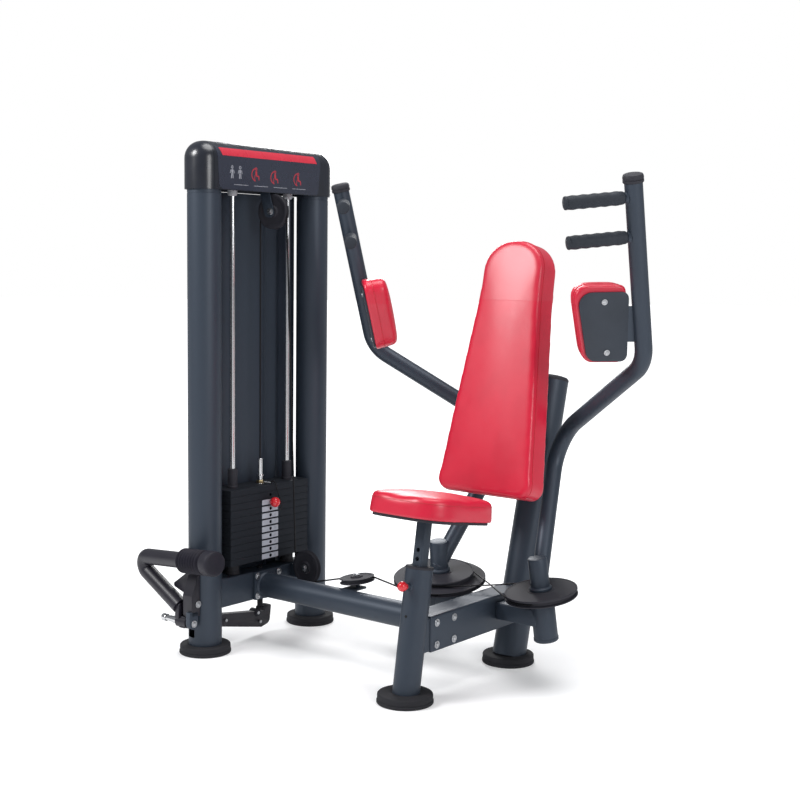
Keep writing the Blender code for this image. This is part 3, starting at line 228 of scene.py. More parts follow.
@dataclass(frozen=True)
class Finish:
    """A painted, moulded or plated surface with a fine texture.

    Attributes:
        name: the material's name.
        colour: linear base colour.
        roughness: mean roughness; it wanders a little round this.
        metallic: 0 for a dielectric.
        coat: weight of a clear coat.
        shine: mirror reflection of the base, 0.5 for common plastics.
        grain: size of the surface texture's cells, per metre.
        depth: depth of the texture, in metres.
        mottle: how far the colour wanders, as a share.
        stretch: scale of the texture along each axis.
    """

    name: str
    colour: Colour
    roughness: float = 0.4
    metallic: float = 0.0
    coat: float = 0.0
    shine: float = 0.5
    grain: float = 900.0
    depth: float = 0.00006
    mottle: float = 0.12
    stretch: tuple[float, float, float] = (1, 1, 1)

    def tint(self, share: float) -> tuple[float, ...]:
        """The colour made lighter or darker."""
        return (*(min(1.0, c * share) for c in self.colour), 1.0)

    def base(self, graph: Graph) -> Signal:
        """Colour with a broad mottle."""
        broad = graph.noise(9.0, 4.0, self.stretch)
        return graph.mix(broad.step(0.35, 0.65), self.tint(1 - self.mottle), self.tint(1 + self.mottle))

    def rough(self, graph: Graph) -> Signal:
        """Roughness with slight wear."""
        return graph.noise(28.0, 5.0, self.stretch) * 0.14 + (self.roughness - 0.07)

    def normal(self, graph: Graph) -> Signal:
        """Normal with a fine grain."""
        fine = graph.noise(self.grain, 2.0, self.stretch)
        return graph.bump(fine, 0.35, self.depth)

    def make(self) -> bpy.types.Material:
        """Build the material, or return it if it exists.

        Returns:
            The material of this finish.
        """
        found = bpy.data.materials.get(self.name)
        if found is not None:
            return found
        graph = Graph(self.name)
        graph.feed(graph.shader, {"Base Color": self.base(graph), "Roughness": self.rough(graph),
                                  "Metallic": self.metallic, "Coat Weight": self.coat,
                                  "Specular IOR Level": self.shine,
                                  "Coat Roughness": 0.22, "Normal": self.normal(graph)})
        return graph.material


@dataclass(frozen=True)
class Upholstery(Finish):
    """Grained vinyl over foam, with a clear film left on part of it."""

    film: Callable[[Graph], Signal] | None = None

    def normal(self, graph: Graph) -> Signal:
        """Pebbled grain, soft folds, and wrinkles in the film.

        Args:
            graph: the material that it goes into.

        Returns:
            The bent normal.
        """
        pebbles = graph.cells(620.0, "SMOOTH_F1")
        grain = graph.bump(pebbles, 0.30, 0.00022)
        folds = graph.noise(7.0, 2.0)
        soft = graph.bump(folds, 0.12, 0.0030, grain)
        if self.film is None:
            return soft
        wrinkles = graph.noise(20.0, 5.0, (1.0, 1.0, 1.6)) * self.film(graph)
        return graph.bump(wrinkles, 0.10, 0.0022, soft)

    def rough(self, graph: Graph) -> Signal:
        """Roughness of the skin, and of the film where there is one.

        Args:
            graph: the material that it goes into.

        Returns:
            The roughness.
        """
        skin = graph.noise(40.0, 4.0) * 0.16 + (self.roughness - 0.08)
        if self.film is None:
            return skin
        film = self.film(graph)
        return skin * (1.0 - film) + film * 0.34

    def base(self, graph: Graph) -> Signal:
        """Colour of the skin, paler below the film.

        Args:
            graph: the material that it goes into.

        Returns:
            The colour.
        """
        plain = super().base(graph)
        if self.film is None:
            return plain
        pale = tuple(c * 0.86 + 0.045 for c in self.colour)
        return graph.mix(self.film(graph) * 0.30, plain, (*pale, 1.0))


def film_above(height: float, blur: float = 0.002) -> Callable[[Graph], Signal]:
    """Film on the part of a pad above a height."""
    return lambda graph: graph.axis(2).step(height - blur, height + blur)


def film_below(height: float, blur: float = 0.003) -> Callable[[Graph], Signal]:
    """Film on the part of a pad below a height."""
    return lambda graph: graph.axis(2).step(height + blur, height - blur)


RED = (0.560, 0.007, 0.034)


class Look(enum.Enum):
    """The finishes of the machine."""

    PAINT = Finish("frame_paint", (0.0042, 0.0068, 0.0132), 0.30, 0.0, 0.12, 0.36, 1100.0, 0.00005, 0.10)
    LILAC = Finish("lever_paint", (0.0110, 0.0098, 0.0170), 0.42, 0.0, 0.08, 0.42, 1100.0, 0.00005, 0.10)
    PANEL = Finish("pad_plate_paint", (0.020, 0.027, 0.040), 0.50, 0.0, 0.10, 0.4, 1100.0, 0.00005, 0.08)
    HEAD = Finish("head_plastic", (0.006, 0.008, 0.015), 0.30, 0.0, 0.35, 0.5, 1600.0, 0.00004, 0.10)
    PLACARD = Finish("placard", (0.018, 0.022, 0.040), 0.28, 0.0, 0.50, 0.5, 300.0, 0.00001, 0.05)
    BAND = Finish("placard_band", (0.560, 0.020, 0.045), 0.28, 0.0, 0.50, 0.5, 300.0, 0.00001, 0.05)
    PRINT = Finish("print_grey", (0.300, 0.310, 0.350), 0.45, 0.0, 0.0, 0.5, 300.0, 0.00001, 0.04)
    PRINT_RED = Finish("print_red", (0.420, 0.020, 0.035), 0.45, 0.0, 0.0, 0.5, 300.0, 0.00001, 0.04)
    LABEL = Finish("plate_label", (0.400, 0.420, 0.480), 0.50, 0.0, 0.0, 0.5, 300.0, 0.00002, 0.06)
    BLACK = Finish("black_plastic", (0.005, 0.006, 0.009), 0.42, 0.0, 0.10, 0.3, 1300.0, 0.00006, 0.12)
    RUBBER = Finish("black_rubber", (0.007, 0.008, 0.012), 0.50, 0.0, 0.0, 0.3, 700.0, 0.00014, 0.18)
    CABLE = Finish("coated_cable", (0.004, 0.004, 0.006), 0.50, 0.0, 0.0, 0.25, 500.0, 0.00010, 0.05)
    IRON = Finish("plate_iron", (0.0050, 0.0064, 0.0105), 0.46, 0.0, 0.05, 0.3, 800.0, 0.00012, 0.18)
    CHROME = Finish("chrome", (0.640, 0.645, 0.660), 0.13, 1.0, 0.0, 0.5, 200.0, 0.00001, 0.04, (1, 1, 0.05))
    ZINC = Finish("zinc_bolt", (0.460, 0.470, 0.490), 0.32, 1.0, 0.0, 0.5, 900.0, 0.00003, 0.12)
    BRASS = Finish("plated_nut", (0.420, 0.350, 0.200), 0.34, 1.0, 0.0, 0.5, 900.0, 0.00003, 0.10)
    SOCKET = Finish("rod_socket", (0.420, 0.430, 0.460), 0.50, 0.0, 0.0, 0.5, 900.0, 0.00003, 0.08)
    KNOB = Finish("red_knob", (0.640, 0.012, 0.022), 0.22, 0.0, 0.50, 0.5, 400.0, 0.00002, 0.05)
    # Near-black for the disc on the seat post's front: painted shade of a hole that is not cut.
    HOLE = Finish("dark_hole", (0.002, 0.002, 0.003), 0.80, 0.0, 0.0, 0.5, 400.0, 0.00001, 0.05)
    GRIP = Finish("grip_foam", (0.022, 0.027, 0.036), 0.66, 0.0, 0.0, 0.3, 900.0, 0.00018, 0.12)
    BELLOWS = Finish("bellows_rubber", (0.014, 0.013, 0.022), 0.55, 0.0, 0.0, 0.3, 900.0, 0.00012, 0.14)
    SEAT = Upholstery("seat_vinyl", RED, 0.36, coat=0.12, mottle=0.04)
    BACK = Upholstery("back_vinyl", RED, 0.36, coat=0.12, mottle=0.04, film=film_above(1.092))
    SIDE_PAD = Upholstery("arm_pad_vinyl", RED, 0.36, coat=0.12, mottle=0.04, film=film_below(1.075))
    PIPING = Finish("piping", (0.480, 0.006, 0.022), 0.42, 0.0, 0.05, 0.5, 600.0, 0.00010, 0.06)


# ==================================================================== shapes
def axes(origin: Point, x_axis: Point, z_axis: Point) -> Matrix:
    """Placement with Z along z_axis and X as near x_axis as it can lie.

    Args:
        origin: the placement's origin.
        x_axis: wanted direction of X.
        z_axis: direction of Z.

    Returns:
        A right-handed placement.
    """
    z = Vector(z_axis).normalized()
    x = Vector(x_axis)
    x = (x - z * x.dot(z)).normalized()
    return Matrix.Translation(Vector(origin)) @ Matrix((x, z.cross(x), z)).transposed().to_4x4()


def along(start: Point, end: Point) -> Matrix:
    """Placement whose Z runs from one point to another."""
    way = Vector(end) - Vector(start)
    return axes(start, Z if abs(way.normalized().z) < 0.9 else X, way)


def mirrored(vector: Point, side: int) -> Vector:
    """The same vector for the right side or mirrored for the left."""
    return Vector((vector[0] * side, vector[1], vector[2]))


def rounded(corners: Sequence[tuple[float, float, float]], steps: int = 8) -> list[tuple[float, float]]:
    """Outline through (x, y, radius) corners, each turned into an arc.

    Args:
        corners: the corners in order.
        steps: pieces per arc.

    Returns:
        The outline's points.
    """
    outline: list[tuple[float, float]] = []
    for i, (x, y, radius) in enumerate(corners):
        here = Vector((x, y))
        before = (Vector(corners[i - 1][:2]) - here).normalized()
        after = (Vector(corners[(i + 1) % len(corners)][:2]) - here).normalized()
        if radius <= 0:
            outline.append((x, y))
            continue
        half = before.angle(after) / 2
        centre = here + (before + after).normalized() * (radius / math.sin(half))
        first = here + before * (radius / math.tan(half)) - centre
        turn = first.angle_signed(here + after * (radius / math.tan(half)) - centre)
        start = math.atan2(first.y, first.x)
        outline += [(centre.x + radius * math.cos(start - turn * k / steps),
                     centre.y + radius * math.sin(start - turn * k / steps)) for k in range(steps + 1)]
    return outline


def bent_path(points: Sequence[Point], bends: Sequence[float], steps: int = 16) -> list[Vector]:
    """Points of a tube that runs straight between arcs of the given radii.

    Args:
        points: the corners.
        bends: radius of the arc at each inner corner.
        steps: points on each arc.

    Returns:
        The points, corners first to last.
    """
    path = [Vector(points[0])]
    for i, bend in enumerate(bends):
        before, here, after = (Vector(points[k]) for k in (i, i + 1, i + 2))
        back, on = (before - here).normalized(), (after - here).normalized()
        half = back.angle(on) / 2
        centre = here + (back + on).normalized() * (bend / math.sin(half))
        first = here + back * (bend / math.tan(half)) - centre
        last = here + on * (bend / math.tan(half)) - centre
        sweep = first.angle(last)
        path += [centre + (first * math.sin((1 - k / steps) * sweep) + last * math.sin(k / steps * sweep))
                 / math.sin(sweep) for k in range(steps + 1)]
    return path + [Vector(points[-1])]


def arc(centre: Point, across: Point, up: Point, radius: float, first: float, last: float,
        steps: int) -> list[Vector]:
    """Points round centre from angle first to last, in degrees, from across to up.

    Args:
        centre: middle of the arc.
        across: the way that angle 0 points.
        up: the way that angle 90 points.
        radius: radius of the arc.
        first: its first angle.
        last: its last angle.
        steps: pieces that it is cut into.

    Returns:
        The points.
    """
    turns = [math.radians(first + (last - first) * k / steps) for k in range(steps + 1)]
    return [Vector(centre) + Vector(across) * radius * math.cos(a) + Vector(up) * radius * math.sin(a)
            for a in turns]


def rib_profile(length: float, count: int, crest: float, valley: float, start: float = 0.0,
                per_rib: int = 8) -> list[tuple[float, float]]:
    """Wavy (radius, height) profile, top to bottom.

    Args:
        length: height of the ribbed part.
        count: number of ribs.
        crest: radius of the crests.
        valley: radius between them.
        start: height of the lower end.
        per_rib: points on each rib.

    Returns:
        The profile.
    """
    total = count * per_rib
    return [(valley + (crest - valley) * (0.5 - 0.5 * math.cos(2 * math.pi * k / per_rib)),
             start + length * (1 - k / total)) for k in range(total + 1)]


class Shop:
    """Makes mesh objects whose place is in their vertices."""

    @staticmethod
    def wrap(name: str, work: bmesh.types.BMesh, place: Matrix | None = None) -> bpy.types.Object:
        """Make an object from mesh data.

        Args:
            name: the piece's name.
            work: the mesh data, which is freed.
            place: where it stands, or None to leave it.

        Returns:
            The object.
        """
        mesh = bpy.data.meshes.new(name)
        if place is not None:
            bmesh.ops.transform(work, matrix=place, verts=work.verts)
        bmesh.ops.recalc_face_normals(work, faces=work.faces)
        work.to_mesh(mesh)
        work.free()
        obj = bpy.data.objects.new(name, mesh)
        bpy.context.scene.collection.objects.link(obj)
        return obj

    @staticmethod
    def lathe(name: str, profile: Profile, place: Matrix, steps: int = 64) -> bpy.types.Object:
        """Solid of revolution about Z.

        Args:
            name: the object's name.
            profile: (radius, height) points, top to bottom down the outer side.
            place: where its axis stands.
            steps: pieces of the full turn.

        Returns:
            The object.
        """
        work = bmesh.new()
        rings = []
        for radius, height in profile:
            if radius <= 1e-6:
                rings.append([work.verts.new((0, 0, height))])
                continue
            rings.append([work.verts.new((radius * math.cos(2 * math.pi * k / steps),
                                          radius * math.sin(2 * math.pi * k / steps), height))
                          for k in range(steps)])
        loops = list(zip(rings, rings[1:]))
        if len(rings[0]) > 1:
            loops.append((rings[-1], rings[0]))
        for one, two in loops:
            for k in range(steps):
                corners = [one[k % len(one)], one[(k + 1) % len(one)], two[(k + 1) % len(two)], two[k % len(two)]]
                work.faces.new(list(dict.fromkeys(corners)))
        return Shop.wrap(name, work, place)

    @staticmethod
    def bar(name: str, path: Sequence[Point], radius: float, sides: int = 32) -> bpy.types.Object:
        """Round bar, tube or cable along a path.

        Args:
            name: the piece's name.
            path: points along its middle.
            radius: its radius.
            sides: number of sides round it.

        Returns:
            The bar.
        """
        points = [Vector(p) for p in path]
        ways = [(points[min(i + 1, len(points) - 1)] - points[max(i - 1, 0)]).normalized()
                for i in range(len(points))]
        normal = ways[0].orthogonal().normalized()
        work = bmesh.new()
        rings = []
        for i, (point, way) in enumerate(zip(points, ways)):
            normal = (normal - way * normal.dot(way)).normalized()
            side = way.cross(normal)
            reach = radius
            if 0 < i < len(points) - 1:
                into = (point - points[i - 1]).normalized()
                reach = radius / max(0.7, math.cos(into.angle(way)))
            rings.append([work.verts.new(point + (normal * math.cos(2 * math.pi * k / sides)
                                                  + side * math.sin(2 * math.pi * k / sides)) * reach)
                          for k in range(sides)])
        for one, two in zip(rings, rings[1:]):
            for k in range(sides):
                work.faces.new((one[k], one[(k + 1) % sides], two[(k + 1) % sides], two[k]))
        work.faces.new(rings[0][::-1])
        work.faces.new(rings[-1])
        return Shop.wrap(name, work)

    @staticmethod
    def plate(name: str, outline: Profile, thickness: float, place: Matrix, edge: float = 0.001,
              segments: int = 2) -> bpy.types.Object:
        """Flat piece, half its thickness each side of the placement's XY plane, with soft edges.

        Args:
            name: the piece's name.
            outline: its outline, in the placement's XY plane.
            thickness: its thickness.
            place: where it stands.
            edge: size of its rounded edges.
            segments: number of faces across a rounded edge.

        Returns:
            The plate.
        """
        work = bmesh.new()
        low = [work.verts.new((x, y, -thickness / 2)) for x, y in outline]
        high = [work.verts.new((x, y, thickness / 2)) for x, y in outline]
        rims = [work.faces.new(low[::-1]), work.faces.new(high)]
        for k in range(len(outline)):
            j = (k + 1) % len(outline)
            work.faces.new((low[k], low[j], high[j], high[k]))
        if edge > 0:
            edges = list({e for rim in rims for e in rim.edges})
            bmesh.ops.bevel(work, geom=edges, offset=edge, segments=segments, profile=0.5, affect="EDGES",
                            clamp_overlap=True)
        return Shop.wrap(name, work, place)

    @staticmethod
    def block(name: str, low: Point, high: Point, edge: float = 0.0015, place: Matrix | None = None,
              segments: int = 3) -> bpy.types.Object:
        """Box with rounded edges.

        Args:
            name: the piece's name.
            low: its lowest corner.
            high: its highest corner.
            edge: size of its rounded edges.
            place: where it stands.
            segments: number of faces across a rounded edge.

        Returns:
            The box.
        """
        work = bmesh.new()
        bmesh.ops.create_cube(work, size=1.0)
        low, high = Vector(low), Vector(high)
        bmesh.ops.scale(work, vec=high - low, verts=work.verts)
        bmesh.ops.translate(work, vec=(low + high) / 2, verts=work.verts)
        if edge > 0:
            bmesh.ops.bevel(work, geom=list(work.edges), offset=edge, segments=segments, profile=0.5,
                            affect="EDGES", clamp_overlap=True)
        return Shop.wrap(name, work, place)

    @staticmethod
    def rod(name: str, radius: float, start: Point, end: Point, sides: int = 32,
            edge: float = 0.0008) -> bpy.types.Object:
        """Round rod between two points.

        Args:
            name: the piece's name.
            radius: its radius.
            start: middle of one end.
            end: middle of the other end.
            sides: number of sides round it.
            edge: size of its rounded edges.

        Returns:
            The rod.
        """
        length = (Vector(end) - Vector(start)).length
        profile = [(0.0, length), (radius - edge, length), (radius, length - edge), (radius, edge),
                   (radius - edge, 0.0), (0.0, 0.0)]
        return Shop.lathe(name, profile, along(start, end), sides)

    @staticmethod
    def bake(obj: bpy.types.Object) -> bpy.types.Object:
        """Replace an object's mesh by its evaluated one and drop its modifiers.

        Args:
            obj: the object.

        Returns:
            The same object.
        """
        bpy.context.view_layer.update()
        graph = bpy.context.evaluated_depsgraph_get()
        old = obj.data
        obj.data = bpy.data.meshes.new_from_object(obj.evaluated_get(graph))
        obj.data.name = obj.name
        obj.modifiers.clear()
        bpy.data.meshes.remove(old)
        return obj

    @staticmethod
    def boolean(target: bpy.types.Object, tools: Iterable[bpy.types.Object], operation: str) -> bpy.types.Object:
        """Cut pieces from a piece, or add them to it, and drop them.

        Args:
            target: the piece that changes.
            tools: the pieces that are used up.
            operation: name of the Boolean step.

        Returns:
            The changed piece.
        """
        tools = list(tools)
        for tool in tools:
            step = target.modifiers.new(tool.name, "BOOLEAN")
            step.operation, step.object, step.solver = operation, tool, "EXACT"
        Shop.bake(target)
        for tool in tools:
            bpy.data.objects.remove(tool)
        return target

    @staticmethod
    def join(name: str, pieces: Sequence[bpy.types.Object]) -> bpy.types.Object:
        """One object from several, each keeping its material.

        Args:
            name: the piece's name.
            pieces: the objects, which are used up.

        Returns:
            The joined object.
        """
        work = bmesh.new()
        looks: list[bpy.types.Material | None] = []
        for piece in pieces:
            piece_looks = list(piece.data.materials) or [None]
            count = len(work.faces)
            work.from_mesh(piece.data)
            work.faces.ensure_lookup_table()
            for look in piece_looks:
                if look not in looks:
                    looks.append(look)
            for face in work.faces[count:]:
                face.material_index = looks.index(piece_looks[min(face.material_index, len(piece_looks) - 1)])
            bpy.data.objects.remove(piece)
        mesh = bpy.data.meshes.new(name)
        work.to_mesh(mesh)
        work.free()
        for look in looks:
            mesh.materials.append(look)
        obj = bpy.data.objects.new(name, mesh)
        bpy.context.scene.collection.objects.link(obj)
        return obj


def paint(obj: bpy.types.Object, look: Look) -> bpy.types.Object:
    """Give a piece one finish.

    Args:
        obj: the piece.
        look: its finish.

    Returns:
        The piece.
    """
    obj.data.materials.clear()
    obj.data.materials.append(look.value.make())
    return obj


def show(obj: bpy.types.Object, body: str, nodes: Sequence[str] = (),
         angle: float = 32.0) -> bpy.types.Object:
    """Hand a finished piece to the frame.

    Args:
        obj: the piece.
        body: the CAD body it moves with.
        nodes: the CAD nodes it stands for.
        angle: edges sharper than this, in degrees, stay sharp.

    Returns:
        The piece.
    """
    obj.data.shade_smooth()
    obj.data.set_sharp_from_angle(angle=math.radians(angle))
    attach(obj, body)
    if nodes:
        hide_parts(*nodes)
    LOG.info("piece %s rides on %s", obj.name, body)
    return obj


# ============================================================ repeated pieces
@dataclass
class Repeater:
    """Copies of one small part on a set of points, made with geometry nodes."""

    name: str
    part: bpy.types.Object
    places: list[tuple[Vector, Vector]] = field(default_factory=list)

    def add(self, point: Point, facing: Point) -> None:
        """Add a copy at a point, facing a way."""
        self.places.append((Vector(point), Vector(facing).normalized()))

    def _group(self) -> tuple[bpy.types.NodeTree, str, str]:
        """Node tree that sets a part on each point.

        Returns:
            The tree, and the names of its part and look inputs.
        """
        group = bpy.data.node_groups.new(self.name + "_nodes", "GeometryNodeTree")
        face = group.interface
        face.new_socket("Points", in_out="INPUT", socket_type="NodeSocketGeometry")
        part = face.new_socket("Part", in_out="INPUT", socket_type="NodeSocketObject")
        look = face.new_socket("Look", in_out="INPUT", socket_type="NodeSocketMaterial")
        face.new_socket("Copies", in_out="OUTPUT", socket_type="NodeSocketGeometry")
        nodes, links = group.nodes, group.links
        entry, leave = nodes.new("NodeGroupInput"), nodes.new("NodeGroupOutput")
        facing = nodes.new("GeometryNodeInputNamedAttribute")
        facing.data_type = "FLOAT_VECTOR"
        facing.inputs[0].default_value = "facing"
        align = nodes.new("FunctionNodeAlignRotationToVector")
        align.axis = "Z"
        info = nodes.new("GeometryNodeObjectInfo")
        copies = nodes.new("GeometryNodeInstanceOnPoints")
        solid = nodes.new("GeometryNodeRealizeInstances")
        coat = nodes.new("GeometryNodeSetMaterial")
        links.new(facing.outputs[0], align.inputs["Vector"])
        links.new(entry.outputs["Part"], info.inputs["Object"])
        links.new(entry.outputs["Points"], copies.inputs["Points"])
        links.new(info.outputs["Geometry"], copies.inputs["Instance"])
        links.new(align.outputs[0], copies.inputs["Rotation"])
        links.new(copies.outputs[0], solid.inputs[0])
        links.new(solid.outputs[0], coat.inputs["Geometry"])
        links.new(entry.outputs["Look"], coat.inputs["Material"])
        links.new(coat.outputs[0], leave.inputs[0])
        return group, part.identifier, look.identifier

    def build(self, look: Look, body: str, slot: str) -> bpy.types.Object:
        """Make the copies as one mesh that rides on a body.

        Args:
            look: its finish.
            body: the CAD body it moves with.
            slot: not used.

        Returns:
            The copies, as one mesh.
        """
        mesh = bpy.data.meshes.new(self.name)
        mesh.from_pydata([tuple(point) for point, _ in self.places], [], [])
        attribute = mesh.attributes.new("facing", "FLOAT_VECTOR", "POINT")
        for i, (_, facing) in enumerate(self.places):
            attribute.data[i].vector = facing
        obj = bpy.data.objects.new(self.name, mesh)
        bpy.context.scene.collection.objects.link(obj)
        modifier = obj.modifiers.new("copies", "NODES")
        group, part_key, look_key = self._group()
        modifier.node_group = group
        modifier[part_key] = self.part
        modifier[look_key] = look.value.make()
        Shop.bake(obj)
        bpy.data.objects.remove(self.part)
        obj.data.materials.clear()
        obj.data.materials.append(look.value.make())
        return show(obj, body)


class Hardware(enum.Enum):
    """Fasteners: (across radius, head height, sides)."""

    HEX = (0.0074, 0.0050, 6)
    DOME = (0.0056, 0.0038, 24)
    SMALL = (0.0046, 0.0030, 20)

    def make(self) -> bpy.types.Object:
        """One fastener at the origin, its head towards +Z.

        Returns:
            The fastener's mesh object.
        """
        radius, height, sides = self.value
        washer = [(0.0, 0.0016), (radius * 1.35, 0.0016), (radius * 1.45, 0.0011), (radius * 1.45, -0.0005),
                  (0.0, -0.0005)]
        head = [(0.0, height), (radius * 0.55, height), (radius * 0.86, height * 0.86),
                (radius, height * 0.55), (radius, 0.0008), (0.0, 0.0008)]
        if self is not Hardware.HEX:
            head = [(0.0, height * 0.72), (radius * 0.42, height * 0.72), (radius * 0.46, height),
                    (radius * 0.72, height * 0.92), (radius * 0.93, height * 0.62), (radius, height * 0.30),
                    (radius, 0.0008), (0.0, 0.0008)]
        pieces = [Shop.lathe("washer", washer, Matrix.Identity(4), 24),
                  Shop.lathe("head", head, Matrix.Identity(4), sides)]
        return Shop.join(self.name.lower() + "_fastener", pieces)


# ================================================================== cushions
@dataclass
class Cushion:
    """Foam pad under stretched vinyl, crowned by a short cloth simulation.

    Attributes:
        name: the piece's name.
        outline: its plan.
        thickness: from the board it lies on to the seam.
        crown: how far the middle may rise.
        place: Z points out of the padded face; the board is at Z = 0.
        look: the vinyl.
        voxel: grid size of the skin.
        softness: how many times the padded edges are worn down.
        welts: heights of the sewn-in cords.
        calm: how many times the simulated crown is evened out.
    """

    name: str
    outline: Profile
    thickness: float
    crown: float
    place: Matrix
    look: Look
    voxel: float = 0.005
    softness: int = 30
    welts: tuple[float, ...] = ()
    calm: int = 24

    def _slab(self) -> bpy.types.Object:
        """Even grid over the plain pad, its padded edges worn round and its board side kept flat.

        Returns:
            The grid.
        """
        flat = Matrix.Translation((0, 0, self.thickness / 2))
        slab = Shop.plate(self.name, self.outline, self.thickness, flat, 0.006, 2)
        bpy.context.view_layer.update()
        plain = BVHTree.FromObject(slab, bpy.context.evaluated_depsgraph_get())
        grid = slab.modifiers.new("grid", "REMESH")
        grid.mode, grid.voxel_size = "VOXEL", self.voxel
        Shop.bake(slab)
        work = bmesh.new()
        work.from_mesh(slab.data)
        flags = {"use_axis_x": True, "use_axis_y": True, "use_axis_z": True}
        for _ in range(6):
            bmesh.ops.smooth_vert(work, verts=work.verts, factor=0.5, **flags)
            for vert in work.verts:
                vert.co = plain.find_nearest(vert.co)[0]
        padded = [v for v in work.verts if v.co.z > self.thickness * 0.22]
        for _ in range(self.softness):
            bmesh.ops.smooth_vert(work, verts=padded, factor=0.5, **flags)
        low = min(v.co.z for v in work.verts)
        high = max(v.co.z for v in work.verts)
        for vert in work.verts:
            vert.co.z = (vert.co.z - low) * self.thickness / (high - low)
        work.to_mesh(slab.data)
        work.free()
        return slab

    def _pin(self, slab: bpy.types.Object) -> None:
        """Hold the part near the board.

        Args:
            slab: the grid over the pad.
        """
        pinned = slab.vertex_groups.new(name="pin")
        for vert in slab.data.vertices:
            held = 1.0 if vert.co.z < self.thickness * 0.30 else 0.0
            if held:
                pinned.add([vert.index], held, "REPLACE")

    def _inflate(self, slab: bpy.types.Object) -> None:
        """Blow the skin up from inside and let it settle.

        Args:
            slab: the grid over the pad.
        """
        cloth = slab.modifiers.new("skin", "CLOTH")
        settings = cloth.settings
        settings.quality, settings.mass = 6, 0.3
        settings.tension_stiffness = settings.compression_stiffness = 25.0
        settings.shear_stiffness, settings.bending_stiffness = 12.0, 2.0
        settings.use_pressure, settings.uniform_pressure_force = True, 4.0
        settings.vertex_group_mass = "pin"
        settings.effector_weights.gravity = 0.0
        cloth.collision_settings.use_collision = False
        cloth.point_cache.frame_start, cloth.point_cache.frame_end = 1, 20
        scene = bpy.context.scene
        for step in range(1, 21):
            scene.frame_set(step)
        Shop.bake(slab)
        scene.frame_set(1)

    def _cap(self, slab: bpy.types.Object, rest: list[Vector]) -> None:
        """Hold each move to the crown, so that the pad keeps its size.

        Args:
            slab: the grid over the pad.
            rest: the points before the skin was blown up.
        """
        moves = [vert.co - old for vert, old in zip(slab.data.vertices, rest)]
        for _ in range(self.calm):
            sums, counts = [move.copy() for move in moves], [1] * len(moves)
            for edge in slab.data.edges:
                one, two = edge.vertices
                sums[one] += moves[two]
                sums[two] += moves[one]
                counts[one] += 1
                counts[two] += 1
            moves = [total / count for total, count in zip(sums, counts)]
        reach = max(move.length for move in moves)
        share = 0.0 if reach < 1e-6 else min(1.0, self.crown / reach)
        for vert, old, move in zip(slab.data.vertices, rest, moves):
            vert.co = old + move * share

    def build(self, body: str, node: str) -> bpy.types.Object:
        """Make the pad and its welts.

        Args:
            body: CAD body it rides on.
            node: CAD node it stands for.

        Returns:
            The finished cushion.
        """
        slab = self._slab()
        rest = [vert.co.copy() for vert in slab.data.vertices]
        self._pin(slab)
        self._inflate(slab)
        self._cap(slab, rest)
        finer = slab.modifiers.new("finer", "SUBSURF")
        finer.levels = finer.render_levels = 1
        Shop.bake(slab)
        welts = self._welts(slab)
        slab.data.transform(self.place)
        slab.vertex_groups.clear()
        show(paint(slab, self.look), body, (node,), 60.0)
        if welts:
            show(Shop.join(self.name + "_welts", welts), body)
        return slab

    def _welts(self, slab: bpy.types.Object) -> list[bpy.types.Object]:
        """Cords sewn into the seams, laid on the pad's sides at the given heights.

        Args:
            slab: the grid over the pad.

        Returns:
            The cords.
        """
        bpy.context.view_layer.update()
        skin = BVHTree.FromObject(slab, bpy.context.evaluated_depsgraph_get())
        xs, ys = [p[0] for p in self.outline], [p[1] for p in self.outline]
        middle = Vector(((max(xs) + min(xs)) / 2, (max(ys) + min(ys)) / 2, 0))
        made = []
        points = [Vector((x, y, 0)) for x, y in dense(self.outline)]
        for height in self.welts:
            loop = []
            for i, point in enumerate(points):
                side = (points[(i + 1) % len(points)] - points[i - 1]).normalized()
                out = Vector((side.y, -side.x, 0))
                if out.dot(point - middle) < 0:
                    out = -out
                start = point + out * 0.04 + Vector((0, 0, height))
                hit = skin.ray_cast(start, -out, 0.08)[0]
                if hit is not None:
                    loop.append(self.place @ (hit + out * 0.0003))
            loop.append(loop[0].copy())
            made.append(paint(Shop.bar("welt", loop, 0.0010, 8), Look.PIPING))
        return made


# ============================================================ main dimensions
TOWER_X, TOWER_Y = -0.766, 0.2158
COLUMN_YS = (-0.0227, 0.4543)
COLUMN_RADIUS = 0.0508
FOOT_TOP = 0.0273
HEAD_BOTTOM, HEAD_TOP = 1.407, 1.550
HEAD_HALF = (COLUMN_RADIUS + 0.0055, 0.2385 + COLUMN_RADIUS + 0.0055)
HEAD_EDGE = 0.052
BEAM_BOTTOM, BEAM_TOP = 0.132, 0.222
BEAM_FRONT = TOWER_X + 0.030
ROD_YS = (0.0938, 0.3378)
ROD_RADIUS = 0.008
STACK_BOTTOM, PITCH, PLATES = 0.258, 0.0216, 11
STACK_X, STACK_Y = (-0.812, -0.720), (0.0420, 0.3896)
STACK_TOP = STACK_BOTTOM + PITCH * PLATES
STEM_TOP = 0.5766
CABLE_RADIUS = 0.0026
GROOVE = 0.0495
TOP_WAY = Vector((math.cos(math.radians(8.2)), math.sin(math.radians(8.2)), 0.0))
TOP_PULLEY = Vector((TOWER_X, TOWER_Y, 1.350)) + TOP_WAY * GROOVE
TOP_AXIS = Z.cross(TOP_WAY)
LOWER_PULLEY = Vector((-0.650, 0.3110, 0.2241))
MID_PULLEY = Vector((-0.3975, 0.2615, 0.2340))
MID_AXIS = Vector((-0.113, -0.060, 1.0)).normalized()
POST_LEAN, POST_LENGTH, POST_RADIUS = math.radians(9.0), 0.3705, 0.0381
POST_WAY = Vector((0, math.sin(POST_LEAN), math.cos(POST_LEAN)))
POST_FRONT = Vector((0, -math.cos(POST_LEAN), math.sin(POST_LEAN)))
PLUNGER_AT = POST_WAY * (POST_LENGTH - 0.052)
REAR_FOOT = Vector((0, 0.5031, 0))
